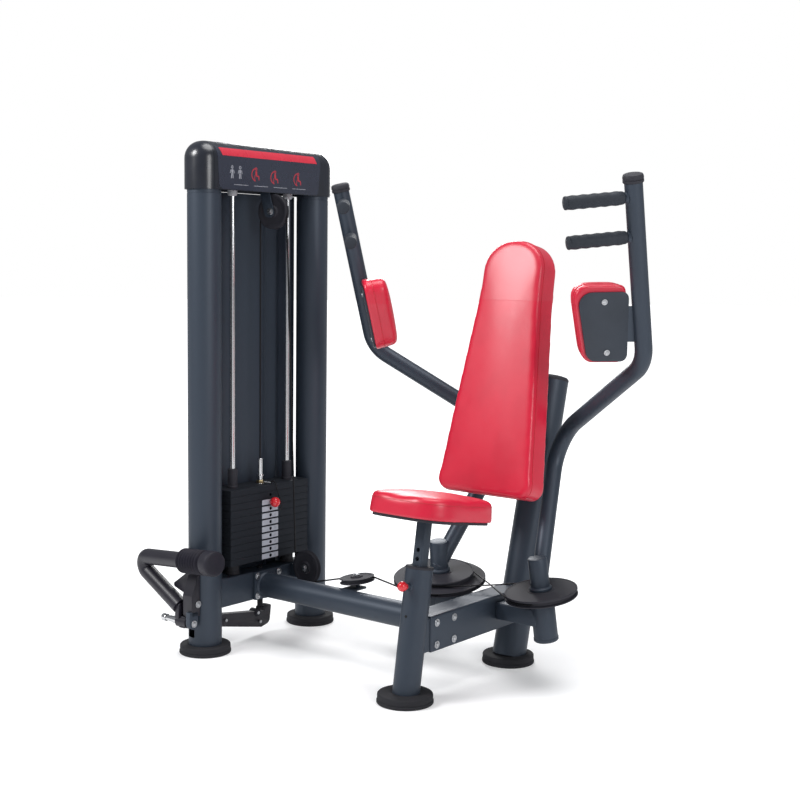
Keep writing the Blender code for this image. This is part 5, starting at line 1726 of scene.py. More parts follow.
    def stem(self) -> None:
        """Bored stem, its coupling and its bead chain."""
        at = Matrix.Translation((TOWER_X, TOWER_Y, 0))
        base = STACK_TOP + 0.0005
        body = [(0.0, base), (0.0120, base), (0.0125, base - 0.001), (0.0125, 0.261), (0.0, 0.261)]
        stem = Shop.lathe("stem", body, at, 40)
        bores = [Shop.rod(f"bore_{layer}", self.pin_bore, (TOWER_X - 0.03, TOWER_Y, pin_height(layer)),
                          (TOWER_X + 0.03, TOWER_Y, pin_height(layer)), 24) for layer in range(PLATES - 1)]
        pieces = [paint(Shop.boolean(stem, bores, "DIFFERENCE"), Look.CHROME)]
        neck = [(0.0, 0.5762), (0.0060, 0.5762), (0.0086, 0.5752), (0.0092, 0.5735), (0.0092, 0.5712),
                (0.0076, 0.5700), (0.0076, 0.5250), (0.0112, 0.5242), (0.0118, 0.5230), (0.0118, 0.5205),
                (0.0090, 0.5195), (0.0090, base + 0.0115), (0.0, base + 0.0115)]
        pieces.append(paint(Shop.lathe("neck", neck, at, 48), Look.CHROME))
        for low, high, look, wide in ((0.5085, 0.5180, Look.ZINC, 0.0100), (base, base + 0.0100, Look.BRASS, 0.0120)):
            nut = [(0.0, high), (wide * 0.86, high), (wide, high - 0.0014), (wide, low + 0.0014),
                   (wide * 0.86, low), (0.0, low)]
            pieces.append(paint(Shop.lathe("nut", nut, at, 6), look))
        for k in range(5):
            bead = [(self.bead * math.sin(math.radians(a)), self.bead * math.cos(math.radians(a)))
                    for a in range(0, 181, 20)]
            bead[0], bead[-1] = (0.0, self.bead), (0.0, -self.bead)
            spot = (TOWER_X + 0.010 + 0.0052 * k, TOWER_Y + 0.008 + 0.0012 * k, STACK_TOP + 0.0028)
            pieces.append(paint(Shop.lathe("bead", bead, Matrix.Translation(spot), 14), Look.ZINC))
        show(Shop.join("stem", pieces), "carriage", ("selector_stem",))

    def pin(self) -> None:
        """Selector pin with its knob."""
        z = pin_height(self.pin_layer)
        tip = TOWER_X - 0.0125 - 0.008
        knob = STACK_X[1] + 0.020 - tip
        ball = [(self.knob * math.cos(math.radians(a)), knob + self.knob * math.sin(math.radians(a)))
                for a in range(90, -61, -6)]
        shank = [(0.0078, knob - 0.0150), (0.0074, knob - 0.0165), (0.0045, knob - 0.0168), (0.0045, 0.003),
                 (0.0030, 0.0), (0.0, 0.0)]
        pin = Shop.lathe("pin", ball + shank, along((tip, TOWER_Y, z), (0, TOWER_Y, z)), 48)
        pin.data.materials.append(Look.KNOB.value.make())
        pin.data.materials.append(Look.CHROME.value.make())
        for face in pin.data.polygons:
            face.material_index = 1 if face.center.x < tip + knob - 0.0160 else 0
        show(pin, "selector", ("selector_pin",))

    def lanyard(self) -> None:
        """Cord from the head plate to the pin's knob."""
        points = smooth_line(self.knots, 6)
        cord = paint(Shop.bar("lanyard", points, self.cord, 14), Look.CABLE)
        length = sum((b - a).length for a, b in zip(points, points[1:]))
        cord.data.shade_smooth()
        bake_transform(cord)
        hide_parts("pin_lanyard")
        LOG.info("piece %s hangs from carriage to selector", cord.name)

    def build(self) -> None:
        """Build the stack and what selects its load."""
        self.plates()
        self.head_plate()
        self.labels()
        self.stem()
        self.pin()
        self.lanyard()


def smooth_line(knots: Sequence[Point], steps: int) -> list[Vector]:
    """Curve through all the knots.

    Args:
        knots: the points that it passes through.
        steps: pieces between two knots.

    Returns:
        The points.
    """
    points = [Vector(k) for k in knots]
    line = []
    for i in range(len(points) - 1):
        a, b = points[max(i - 1, 0)], points[i]
        c, d = points[i + 1], points[min(i + 2, len(points) - 1)]
        for k in range(steps):
            t = k / steps
            line.append(((b * 2) + (c - a) * t + (a * 2 - b * 5 + c * 4 - d) * t ** 2
                         + (b * 3 - a - c * 3 + d) * t ** 3) / 2)
    return line + [points[-1]]


def cam_centre(drop: float, side: int) -> Vector:
    """Point on an arm's pivot axis, a distance below the pivot."""
    return mirrored(PIVOT - PIVOT_AXIS * drop, side)


def disc_plane(side: int) -> tuple[Vector, Vector]:
    """Two directions that span a disc's plane.

    Args:
        side: 1 for the right, -1 for the left.

    Returns:
        The direction across and the one towards the rear.
    """
    axis = mirrored(PIVOT_AXIS, side)
    across = (X - axis * axis.x).normalized()
    return across, axis.cross(across)


@dataclass
class CableTrain:
    """Pulleys and cables from the stack to the two arm discs.

    Attributes:
        cam_drop: middle of the cam's groove below the pivot.
        cam_radius: radius at which the cable lies on the cam.
        sync_drop: crossed cables' groove below the pivot.
        sync_radius: radius at which they lie on the discs.
        sync_cable: radius of a crossed cable.
        sync_apart: how far each bows away from the other.
        wrap: degrees for which a cable lies on a disc.
        stem_ends: lower and upper end of the stem's cable.
        stem_share: length left of it with the stack at its top.
        wheel: half a pulley's section, from its bore.
    """

    cam_drop: float = 0.0245
    cam_radius: float = 0.1345
    sync_drop: float = 0.012
    sync_radius: float = 0.100
    sync_cable: float = 0.0021
    sync_apart: float = 0.0024
    wrap: float = 50
    stem_ends: tuple[float, float] = (0.5769, 1.3497)
    stem_share: float = 0.7207
    wheel: Profile = (
        (0.0068, 0.0110), (0.0170, 0.0110), (0.0180, 0.0102), (0.0190, 0.0070), (0.0205, 0.0060),
        (0.0400, 0.0060), (0.0425, 0.0068), (0.0445, 0.0080), (0.0515, 0.0080), (0.0532, 0.0074),
        (0.0540, 0.0062), (0.0532, 0.0054), (0.0478, 0.0034), (0.0462, 0.0022), (0.0457, 0.0))

    def pulley(self, name: str, centre: Vector, axis: Vector, body: str) -> None:
        """Grooved pulley with a bore.

        Args:
            name: the piece's name.
            centre: its middle.
            axis: the way its axle points.
            body: the CAD body it moves with.
        """
        profile = [*self.wheel, *((radius, -height) for radius, height in reversed(self.wheel[:-1]))]
        wheel = Shop.lathe(name, profile, axes(centre, (1, 0, 0.1), axis), 96)
        show(paint(wheel, Look.BLACK), body, (name,))

    def lift(self) -> None:
        """Cable over the top pulley, by the lower and middle ones, to the cam."""
        cam = cam_centre(self.cam_drop, -1)
        way = cam - MID_PULLEY
        cross = math.asin((GROOVE + self.cam_radius) / math.hypot(way.x, way.y))
        turn = math.degrees(cross - math.atan2(way.y, way.x))
        route = arc(TOP_PULLEY, -TOP_WAY, Z, GROOVE, 0, 180, 36)
        climb = math.degrees(math.atan2(MID_PULLEY.z - LOWER_PULLEY.z + GROOVE, MID_PULLEY.x - LOWER_PULLEY.x))
        route += arc(LOWER_PULLEY, -X, -Z, GROOVE, 0, 90 + climb, 24)
        back = (Y - MID_AXIS * MID_AXIS.y).normalized()
        route += arc(MID_PULLEY, back, back.cross(MID_AXIS), GROOVE, 0, turn, 8)
        across, back = disc_plane(-1)
        meet = 270 - turn
        route += arc(cam, across, back, self.cam_radius, meet, meet + self.wrap, 18)
        show(paint(Shop.bar("cable_lift", route, CABLE_RADIUS, 16), Look.CABLE), "frame",
             ("lift_cable",))

    def sync(self, name: str, left_back: bool) -> None:
        """One of the two crossed cables between the discs.

        Args:
            name: the piece's name.
            left_back: whether it starts at the rear of the left disc.
        """
        span = cam_centre(self.sync_drop, 1).x - cam_centre(self.sync_drop, -1).x
        lean = math.degrees(math.acos(2 * self.sync_radius / span))
        ends = []
        for side in (-1, 1):
            across, back = disc_plane(side)
            turn = 1 if left_back == (side < 0) else -1
            ends.append(arc(cam_centre(self.sync_drop, side), across * -side, back * turn,
                            self.sync_radius, lean + self.wrap, lean, 18))
        apart = Vector((0, 0, self.sync_apart)) * (1 if left_back else -1)
        middle = ends[0][-1].lerp(ends[1][-1], 0.5) + apart
        path = ends[0] + [middle] + ends[1][::-1]
        show(paint(Shop.bar("cable_" + name, path, self.sync_cable, 16), Look.CABLE), "frame",
             ("sync_cable_" + name,))

    def stem_cable(self) -> None:
        """Cable that hauls the stem up."""
        low, high = self.stem_ends
        rise = [(TOWER_X, TOWER_Y, low + (high - low) * k / 12) for k in range(13)]
        cable = paint(Shop.bar("cable_stem", rise, CABLE_RADIUS, 16), Look.CABLE)
        show(cable, "frame", ("stem_cable",))
        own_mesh(cable)

    def build(self) -> None:
        """Build the pulleys and the cables."""
        self.pulley("top_pulley", TOP_PULLEY, TOP_AXIS, "top_wheel")
        self.pulley("lower_pulley", LOWER_PULLEY, Y, "lower_wheel")
        self.pulley("mid_pulley", MID_PULLEY, MID_AXIS, "mid_wheel")
        self.lift()
        self.sync("upper", True)
        self.sync("lower", False)
        self.stem_cable()


# ===================================================================== base
@dataclass
class Base:
    """Main beam, base beam with its cuts for the two leaning posts, and the rear post.

    Attributes:
        bolts: where its bolts are gathered.
        beam_radius: radius of the main beam.
        beam_y: its middle, front to back.
        beam_z: its middle height.
        beam_end: its end before the base beam's middle.
        flange_half: half length of its flange.
        flange: thickness of the flange.
        half_width: half width of the base beam.
        front: front end of the base beam.
        span: its underside and top.
        axle: radius of the middle pulley's axle.
        boss: radius of the back rest's bosses.
    """

    bolts: Fasteners
    beam_radius: float = 0.03805
    beam_y: float = 0.205
    beam_z: float = 0.174
    beam_end: float = 0.0403
    flange_half: float = 0.0625
    flange: float = 0.008
    half_width: float = 0.040
    front: float = 0.062
    span: tuple[float, float] = (0.130, 0.232)
    axle: float = 0.006
    boss: float = 0.0240

    def main_beam(self) -> None:
        """Round beam from the tower, with its flange and the middle pulley's tab and axle."""
        start, y, z = BEAM_FRONT + 0.0003, self.beam_y, self.beam_z
        front, rear = TOWER_Y - self.flange_half, TOWER_Y + self.flange_half
        flange = rounded([(front, BEAM_BOTTOM, 0.006), (rear, BEAM_BOTTOM, 0.006), (rear, BEAM_TOP, 0.006),
                          (front, BEAM_TOP, 0.006)])
        weld = [(0.0385, 0.007), (0.0400, 0.0052), (0.0425, 0.0022), (0.0432, 0.0), (0.0370, 0.0), (0.0370, 0.007)]
        low = MID_PULLEY.z - 0.023
        pieces = [Shop.rod("tube", self.beam_radius, (start, y, z), (-self.beam_end, y, z), 80),
                  Shop.plate("flange", flange, self.flange, axes((start + self.flange / 2, 0, 0), Y, X), 0.0014),
                  Shop.lathe("weld", weld, along((start + self.flange, y, z), (0, y, z)), 80),
                  Shop.lathe("weld", weld, along((-self.beam_end - 0.0001, y, z), (-1, y, z)), 80),
                  Shop.block("tab", (MID_PULLEY.x - 0.022, y, low - 0.007), (MID_PULLEY.x + 0.022,
                                                                             MID_PULLEY.y + 0.020, low)),
                  Shop.rod("axle", self.axle, MID_PULLEY - MID_AXIS * 0.027, MID_PULLEY + MID_AXIS * 0.013)]
        for piece in pieces:
            paint(piece, Look.PAINT)
        show(Shop.join("beam_main", pieces), "frame", ("main_beam",))
        for by in (0.167, 0.263):
            for bz in (0.145, 0.208):
                self.bolts.add(Hardware.HEX, "frame", (start + 0.0085, by, bz), X)
        self.bolts.add(Hardware.HEX, "frame", MID_PULLEY + MID_AXIS * 0.0132, MID_AXIS)

    def base_beam(self) -> None:
        """Box beam from the seat post to the rear post."""
        beam = Shop.block("base_beam", (-self.half_width, self.front, self.span[0]),
                          (self.half_width, REAR_FOOT.y + 0.05, self.span[1]), 0.0060, None, 4)
        cuts = [Shop.rod("rear", 0.0511, REAR_FOOT - REAR_WAY * 0.05, REAR_FOOT + REAR_WAY * 0.5, 96),
                Shop.rod("front", POST_RADIUS + 0.0003, (0, 0, 0), POST_WAY * 0.5, 96),
                Shop.block("behind", (-0.1, 0, -0.1), (0.1, 0.3, 0.6), 0.0, axes(REAR_FOOT, X, REAR_WAY))]
        beam = paint(Shop.boolean(beam, cuts, "DIFFERENCE"), Look.PAINT)
        show(beam, "frame", ("base_beam",))
        for y in (0.088, 0.168):
            for z in (0.149, 0.211):
                for side in (-1, 1):
                    self.bolts.add(Hardware.HEX, "frame", (side * (self.half_width + 0.0005), y, z), (side, 0, 0))

    def rear_post(self) -> None:
        """Rear post with the bosses that hold the back rest."""
        length = (REAR_TOP - REAR_FOOT).length
        tube = [(0.0, length - 0.006), (0.0475, length - 0.006), (COLUMN_RADIUS, length - 0.008),
                (COLUMN_RADIUS, 0.020), (0.0, 0.020)]
        cap = [(0.0, length + 0.0045), (0.036, length + 0.0040), (0.046, length + 0.0016), (0.0505, length - 0.0030),
               (0.0513, length - 0.0055), (0.0513, length - 0.0105), (0.0, length - 0.0105)]
        place = axes(REAR_FOOT, X, REAR_WAY)
        pieces = [paint(Shop.lathe("tube", tube, place, 96), Look.PAINT),
                  paint(Shop.lathe("cap", cap, place, 96), Look.BLACK)]
        for drop in (0.22, 0.62):
            start = REAR_TOP - REAR_WAY * (drop * 0.36)
            back = BACK_BOTTOM - BACK_FACING * (0.085 + 0.0003 + 0.008 + 0.0003)
            reach = (start - back).dot(-BACK_FACING)
            boss = [(0.0, reach), (0.0325, reach), (0.0330, reach - 0.0015), (0.0330, reach - 0.005),
                    (0.0315, reach - 0.006), (self.boss, reach - 0.007), (self.boss, 0.0), (0.0, 0.0)]
            pieces.append(paint(Shop.lathe("boss", boss, axes(start, X, BACK_FACING), 64), Look.PAINT))
        show(Shop.join("post_rear", pieces), "frame", ("rear_post",))

    def build(self) -> None:
        """Build every piece of the base."""
        self.main_beam()
        self.base_beam()
        self.rear_post()


# ================================================================= cushions
def dense(outline: Profile, step: float = 0.007) -> list[tuple[float, float]]:
    """The same outline with points no further apart than step.

    Args:
        outline: the outline.
        step: the longest step, in metres.

    Returns:
        The denser outline.
    """
    points = []
    for (x0, y0), (x1, y1) in zip(outline, [*outline[1:], outline[0]]):
        count = max(1, math.ceil(math.hypot(x1 - x0, y1 - y0) / step))
        points += [(x0 + (x1 - x0) * k / count, y0 + (y1 - y0) * k / count) for k in range(count)]
    return points


@dataclass
class Seat:
    """Front post, sliding seat tube, pan, pad and the locking plunger.

    Attributes:
        bolts: where its bolts are gathered.
        half_width: half width of the pad.
        half_length: half length of the pad.
        corner: rounding of its front corners.
        setback: its middle behind the post.
        rise: pan above the post's top.
        tube_half: half side of the seat tube.
        tube_drop: tube's lower end below the pan.
        bore: half side of the post's bore.
        hole: radius of the tube's holes.
        hole_pitch: from one hole to the next.
        pan: thickness of the pan.
        pad: thickness of the pad.
        crown: how far the pad is domed.
        knob: radius of the plunger's knob.
        plunger_bore: radius of the plunger's bore.
    """

    bolts: Fasteners
    half_width: float = 0.134
    half_length: float = 0.150
    corner: float = 0.080
    setback: float = 0.020
    rise: float = 0.1315
    tube_half: float = 0.016
    tube_drop: float = 0.3315
    bore: float = 0.0168
    hole: float = 0.0063
    hole_pitch: float = 0.025
    pan: float = 0.008
    pad: float = 0.061
    crown: float = 0.009
    knob: float = 0.0140
    plunger_bore: float = 0.0046

    def frame_at(self, lift: float) -> Matrix:
        """Placement on the post's axis, a height above the pan's underside."""
        return axes(POST_WAY * (POST_LENGTH + self.rise + lift), X, POST_WAY)

    def outline(self, margin: float) -> list[tuple[float, float]]:
        """Outline of the pad, with its rounded corners.

        Args:
            margin: how far inside the pad it lies.

        Returns:
            The outline.
        """
        half, length, radius = (size - margin for size in (self.half_width, self.half_length, self.corner))
        front, rear = self.setback - length, self.setback + length
        return rounded([(-half, front, radius), (half, front, radius), (half, rear, radius * 0.8),
                        (-half, rear, radius * 0.8)], 10)

    def post(self) -> None:
        """Post with its bore for the seat tube, and a dark disc that paints the shade of a small hole."""
        place = axes((0, 0, 0), X, POST_WAY)
        tube = [(0.0, POST_LENGTH), (0.0365, POST_LENGTH), (POST_RADIUS, POST_LENGTH - 0.0016),
                (POST_RADIUS, 0.022), (0.0, 0.022)]
        collar = [(0.0, POST_LENGTH + 0.003), (0.0375, POST_LENGTH + 0.003), (0.0393, POST_LENGTH + 0.0012),
                  (0.0394, POST_LENGTH - 0.0030), (0.0384, POST_LENGTH - 0.0042), (0.0, POST_LENGTH - 0.0042)]
        boss = [(0.0, POST_RADIUS + 0.014), (0.0085, POST_RADIUS + 0.014), (0.0095, POST_RADIUS + 0.0130),
                (0.0095, POST_RADIUS + 0.0015), (0.0120, POST_RADIUS - 0.0010), (0.0, 0.0200)]
        bore = self.bore
        pieces = []
        for name, profile, look in (("tube", tube, Look.PAINT), ("collar", collar, Look.BLACK)):
            inner = Shop.block("bore", (-bore, -bore, 0.05), (bore, bore, POST_LENGTH + 0.02), 0.0, place)
            rod = Shop.rod("plunger_bore", self.plunger_bore, PLUNGER_AT, PLUNGER_AT + POST_FRONT * 0.09, 24)
            solid = Shop.lathe(name, profile, place, 96)
            pieces.append(paint(Shop.boolean(solid, [inner, rod], "DIFFERENCE"), look))
        rod = Shop.rod("plunger_bore", self.plunger_bore, PLUNGER_AT, PLUNGER_AT + POST_FRONT * 0.09, 24)
        nose = Shop.lathe("boss", boss, along(PLUNGER_AT, PLUNGER_AT + POST_FRONT), 40)
        pieces.append(paint(Shop.boolean(nose, [rod], "DIFFERENCE"), Look.PAINT))
        pieces.append(paint(Shop.block("stub", (-0.036, 0.036, 0.134), (0.036, 0.0617, 0.228), 0.003), Look.PAINT))
        # A thin near-black disc on the post's front is painted shade that stands in for a small hole; no hole is cut.
        spot = POST_WAY * 0.236 + POST_FRONT * (POST_RADIUS - 0.0004)
        pieces.append(paint(Shop.rod("hole", 0.0042, spot, spot + POST_FRONT * 0.0006, 24), Look.HOLE))
        show(Shop.join("post_seat", pieces), "frame", ("seat_post",))

    def tube(self) -> None:
        """Seat tube with its holes, and the pan on it."""
        half = self.tube_half
        tube = Shop.block("tube", (-half, -half, -self.tube_drop), (half, half, 0.004), 0.0030, self.frame_at(0))
        holes = []
        for step in range(-3, 5):
            spot = PLUNGER_AT + POST_WAY * (step * self.hole_pitch)
            holes.append(Shop.rod("hole", self.hole, spot + POST_FRONT * 0.004, spot + POST_FRONT * 0.03, 24))
        pieces = [paint(Shop.boolean(tube, holes, "DIFFERENCE"), Look.PAINT)]
        pan = Shop.plate("pan", self.outline(0.008), self.pan, self.frame_at(self.pan / 2), 0.0012)
        pieces.append(paint(pan, Look.BLACK))
        show(Shop.join("seat_stem", pieces), "seat", ("seat_tube",))

    def plunger(self) -> None:
        """Spring plunger that locks the seat."""
        tip = 0.0165
        stop = POST_RADIUS + 0.0143 - tip
        ball = [(self.knob * math.cos(math.radians(a)), stop + 0.0165 + self.knob * math.sin(math.radians(a)))
                for a in range(90, -46, -9)]
        knob = [(0.0, ball[0][1]), *ball[1:], (0.0086, stop + 0.0045), (0.0086, stop + 0.0012),
                (0.0078, stop), (0.0038, stop), (0.0038, 0.0010), (0.0030, 0.0), (0.0, 0.0)]
        start = PLUNGER_AT + POST_FRONT * tip
        show(paint(Shop.lathe("seat_knob", knob, along(start, start + POST_FRONT), 56), Look.KNOB), "seat_lock",
             ("seat_plunger",))

    def build(self) -> None:
        """Build the post, the tube, the plunger and the pad."""
        self.post()
        self.tube()
        self.plunger()
        place = self.frame_at(self.pan + 0.0003)
        Cushion("seat_cushion", self.outline(-0.0010), self.pad, self.crown, place, Look.SEAT,
                softness=50, welts=(0.043,)).build("seat", "seat_pad")


@dataclass
class BackRest:
    """Tall leaning pad on its board.

    Attributes:
        half_top: half width at the top.
        half_neck: half width at the neck.
        half_bottom: half width at the bottom.
        corner: rounding that the corners are worked out from.
        neck_height: neck above the lower edge.
        neck_radius: rounding of the neck.
        length: from the lower to the upper edge.
        board: thickness of the board.
        pad: thickness of the pad up to its dome.
        crown: how far the pad is domed.
    """

    half_top: float = 0.100
    half_neck: float = 0.109
    half_bottom: float = 0.167
    corner: float = 0.060
    neck_height: float = 0.560
    neck_radius: float = 0.30
    length: float = 0.750
    board: float = 0.008
    pad: float = 0.081
    crown: float = 0.007

    @staticmethod
    def frame_at(depth: float) -> Matrix:
        """Placement on the back rest, a depth behind its front."""
        return axes(BACK_BOTTOM - BACK_FACING * depth, X, BACK_FACING)

    def outline(self, margin: float) -> list[tuple[float, float]]:
        """Outline of the pad, with its neck.

        Args:
            margin: how far inside the pad it lies.

        Returns:
            The outline.
        """
        top, neck, bottom = (half - margin for half in (self.half_top, self.half_neck, self.half_bottom))
        radius, high = self.corner - margin / 2, self.length - margin
        return rounded([(-bottom, margin, radius * 0.6), (bottom, margin, radius * 0.6),
                        (neck, self.neck_height, self.neck_radius), (top, high, radius * 1.55),
                        (-top, high, radius * 1.55), (-neck, self.neck_height, self.neck_radius)], 10)

    def build(self) -> None:
        """Build the board and the pad."""
        board = Shop.plate("back_board", self.outline(0.022), self.board, self.frame_at(0.0893), 0.0014)
        show(paint(board, Look.BLACK), "frame", ("back_plate",))
        Cushion("back_cushion", self.outline(-0.0010), self.pad, self.crown, self.frame_at(0.085), Look.BACK, 0.006,
                softness=14, welts=(0.062,)).build("frame", "back_pad")


# ===================================================================== arms
@dataclass
class Arm:
    """One swinging arm: hub, disc, bent tube, pad and two grips.

    Attributes:
        side: 1 for the right arm, -1 for the left.
        bolts: where its bolts are gathered.
        knee_bend: radius of the tube's lower bend.
        elbow_bend: radius of its upper bend.
        radius: radius of the tube.
        steel: thickness of the plate behind the pad.
        tab: thickness of the plate's tab.
        pad_size: thickness of the pad up to its dome.
        crown: how far the pad is domed.
        softness: how many times the pad's edges are worn down.
        shares: upper and lower grip, as shares of the arm's last length.
        bar: radius of a grip's bar.
        bar_length: length of a grip's bar.
        grip_start: start of a grip along its bar.
        grip_length: length of a grip.
    """

    side: int
    bolts: Fasteners
    knee_bend: float = 0.12
    elbow_bend: float = 0.10
    radius: float = 0.02415
    steel: float = 0.006
    tab: float = 0.0052
    pad_size: float = 0.070
    crown: float = 0.006
    softness: int = 60
    shares: tuple[float, float] = (0.895, 0.690)
    bar: float = 0.0125
    bar_length: float = 0.184
    grip_start: float = 0.030
    grip_length: float = 0.160

    @property
    def name(self) -> str:
        """Side of the machine, as a word."""
        return side_name(self.side)

    @property
    def body(self) -> str:
        """Body that the arm's pieces move with."""
        return self.name + "_arm"

    def pivot(self, drop: float = 0.0) -> Matrix:
        """Placement on the arm's pivot axis."""
        return axes(cam_centre(drop, self.side), X, mirrored(PIVOT_AXIS, self.side))

    def pad_frame(self, depth: float) -> Matrix:
        """Placement on the plate behind the pad.

        Args:
            depth: how far from the plate's middle it lies, towards the pad.

        Returns:
            The placement.
        """
        upper = (ARM[3] - ARM[2]).normalized()
        across = Vector((math.cos(PAD_TURN), math.sin(PAD_TURN), 0))
        rise = (upper - across * across.dot(upper)).normalized()
        away = across.cross(rise)
        origin = ARM[2] + upper * 0.172 - away * depth
        if self.side > 0:
            return axes(origin, across, away)
        return axes(mirrored(origin, -1), -mirrored(across, -1), mirrored(away, -1))

    def outline(self, margin: float, steps: int = 8) -> list[tuple[float, float]]:
        """Outline of the plate, or of the pad on it.

        Args:
            margin: how far outside the plain shape it lies.
            steps: points on each corner.

        Returns:
            The outline.
        """
        left, top, bottom = -0.178 - margin * 0.7, 0.029 + margin, -0.163 - margin * 0.3
        right_top, right_low = -0.036 - margin * 0.4, -0.022 - margin * 0.3
        points = rounded([(left, top - 0.004, 0.034), (right_top, top, 0.018), (right_low, bottom, 0.018),
                          (left + 0.045 + margin * 0.2, bottom, 0.030)], steps)
        return self.sided(points)

    def sided(self, points: Profile) -> list[tuple[float, float]]:
        """Points as they lie on this side of the machine."""
        return list(points) if self.side > 0 else [(-x, y) for x, y in reversed(list(points))]

    def grip_line(self, share: float) -> tuple[Vector, Vector]:
        """Root and direction of a grip's bar.

        Args:
            share: how far along the arm's last length it stands, 0 to 1.

        Returns:
            The root and the direction.
        """
        root = ARM[2].lerp(ARM[3], share)
        way = Vector((-math.cos(PAD_TURN + 0.05), -math.sin(PAD_TURN - 0.02), -0.105)).normalized()
        return mirrored(root, self.side), mirrored(way, self.side)

    def housing(self) -> None:
        """Spindle housing, with its bracket on the base beam."""
        top, tip, length = 0.034, -0.0104, 0.118
        profile = [(0.0, tip), (0.0092, tip), (0.0100, tip - 0.0008), (0.0100, -top), (0.0290, -top),
                   (0.0330, -top - 0.0020), (0.0350, -top - 0.0060), (0.0350, -top - length + 0.010),
                   (0.0362, -top - length + 0.009), (0.0362, -top - length + 0.002),
                   (0.0345, -top - length), (0.0, -top - length)]
        pieces = [paint(Shop.lathe("housing", profile, self.pivot(), 80), Look.PAINT)]
        span = sorted((self.side * 0.0403, self.side * PIVOT.x))
        y = PIVOT.y + 0.008
        pieces.append(paint(Shop.block("bracket", (span[0], y - 0.030, 0.164), (span[1], y + 0.030, 0.214), 0.004),
                            Look.PAINT))
        show(Shop.join("housing_" + self.name, pieces), "frame", ("pivot_housing_" + self.name,))
        for dy in (-0.018, 0.018):
            self.bolts.add(Hardware.SMALL, "frame", (self.side * 0.095, y + dy, 0.2145), Z)

    def disc(self) -> None:
        """Disc at the pivot; the left one carries the cam groove."""
        rim = [(0.0, -0.0003), (0.0380, -0.0003), (0.0395, -0.0014), (0.0990, -0.0014), (0.1005, -0.0004),
               (0.1038, -0.0004), (0.1050, -0.0022), (0.1050, -0.0058), (0.0972, -0.0084), (0.0962, -0.0120),
               (0.0972, -0.0156), (0.1050, -0.0182)]
        if self.side < 0:
            rim += [(0.1380, -0.0184), (0.1395, -0.0196), (0.1395, -0.0199), (0.1315, -0.0211), (0.1307, -0.0245),
                    (0.1315, -0.0279), (0.1395, -0.0291), (0.1395, -0.0302), (0.1385, -0.0310)]
        else:
            rim += [(0.1050, -0.0200), (0.1035, -0.0215), (0.0760, -0.0308), (0.0740, -0.0310)]
        rim += [(0.0108, -0.0310), (0.0108, -0.0095), (0.0, -0.0095)]
        show(paint(Shop.lathe("disc_" + self.name + "_wheel", rim, self.pivot(), 128), Look.BLACK), self.body,
             ("disc_" + self.name,))

    def tube(self) -> None:
        """Bent tube with its hub, plate, grip bars and cap."""
        corners = [mirrored(p, self.side) for p in ARM]
        path = bent_path(corners, (self.knee_bend, self.elbow_bend), 20)
        hub = [(0.0, 0.0948), (0.0235, 0.0948), (0.0262, 0.0938), (0.0275, 0.0915), (0.0275, 0.0110),
               (0.0290, 0.0094), (0.0310, 0.0082), (0.0325, 0.0066), (0.0325, 0.0012), (0.0313, 0.0), (0.0, 0.0)]
        pieces = [Shop.bar("tube", path, self.radius, 48), Shop.lathe("hub", hub, self.pivot(), 72)]
        pieces.append(Shop.plate("plate", self.outline(0), self.steel, self.pad_frame(0), 0.0012))
        tab = self.sided([(-0.050, -0.108), (0.0, -0.108), (0.0, -0.010), (-0.050, -0.010)])
        pieces.append(Shop.plate("tab", tab, self.tab, self.pad_frame(0), 0.0006))
        for share in self.shares:
            root, way = self.grip_line(share)
            pieces.append(Shop.rod("bar", self.bar, root, root + way * self.bar_length, 40))
            weld = [(0.0128, 0.0285), (0.0140, 0.0272), (0.0160, 0.0245), (0.0175, 0.0200), (0.0100, 0.0200),
                    (0.0100, 0.0285)]
            pieces.append(Shop.lathe("weld", weld, along(root, root + way), 40))
        for i, piece in enumerate(pieces):
            paint(piece, Look.PANEL if i == 2 else Look.PAINT)
        way = (corners[3] - corners[2]).normalized()
        cap = [(0.0, 0.0080), (0.0215, 0.0076), (0.0255, 0.0058), (0.0272, 0.0025), (0.0278, -0.0010),
               (0.0278, -0.0052), (0.0264, -0.0062), (0.0264, -0.0074), (0.0278, -0.0082), (0.0278, -0.0140),
               (0.0266, -0.0155), (0.0, -0.0155)]
        pieces.append(paint(Shop.lathe("cap", cap, along(corners[3], corners[3] + way), 64), Look.BLACK))
        cut = Shop.block("below", (-0.2, -0.2, -0.2), (0.2, 0.2, 0.0), 0.0, self.pivot())
        Shop.boolean(pieces[0], [cut], "DIFFERENCE")
        paint(pieces[0], Look.PAINT)
        show(Shop.join("arm_" + self.name + "_tube", pieces), self.body, ("arm_" + self.name,))
        for t, w in ((-0.101, 0.001), (-0.081, -0.138)):
            place = self.pad_frame(-0.0031)
            facing = (place.to_3x3() @ Z).normalized()
            self.bolts.add(Hardware.DOME, self.body, place @ Vector((t * self.side, w, 0)), facing)

    def pad(self) -> None:
        """Pad in front of the plate."""
        place = self.pad_frame(0.0033) @ Matrix.Rotation(math.pi, 4, "X")
        outline = [(x, -y) for x, y in reversed(self.outline(0.0165, 8))]
        Cushion("arm_cushion_" + self.name, outline, self.pad_size, self.crown, place, Look.SIDE_PAD, 0.0045,
                softness=self.softness, welts=(0.026,)).build(self.body, "arm_pad_" + self.name)

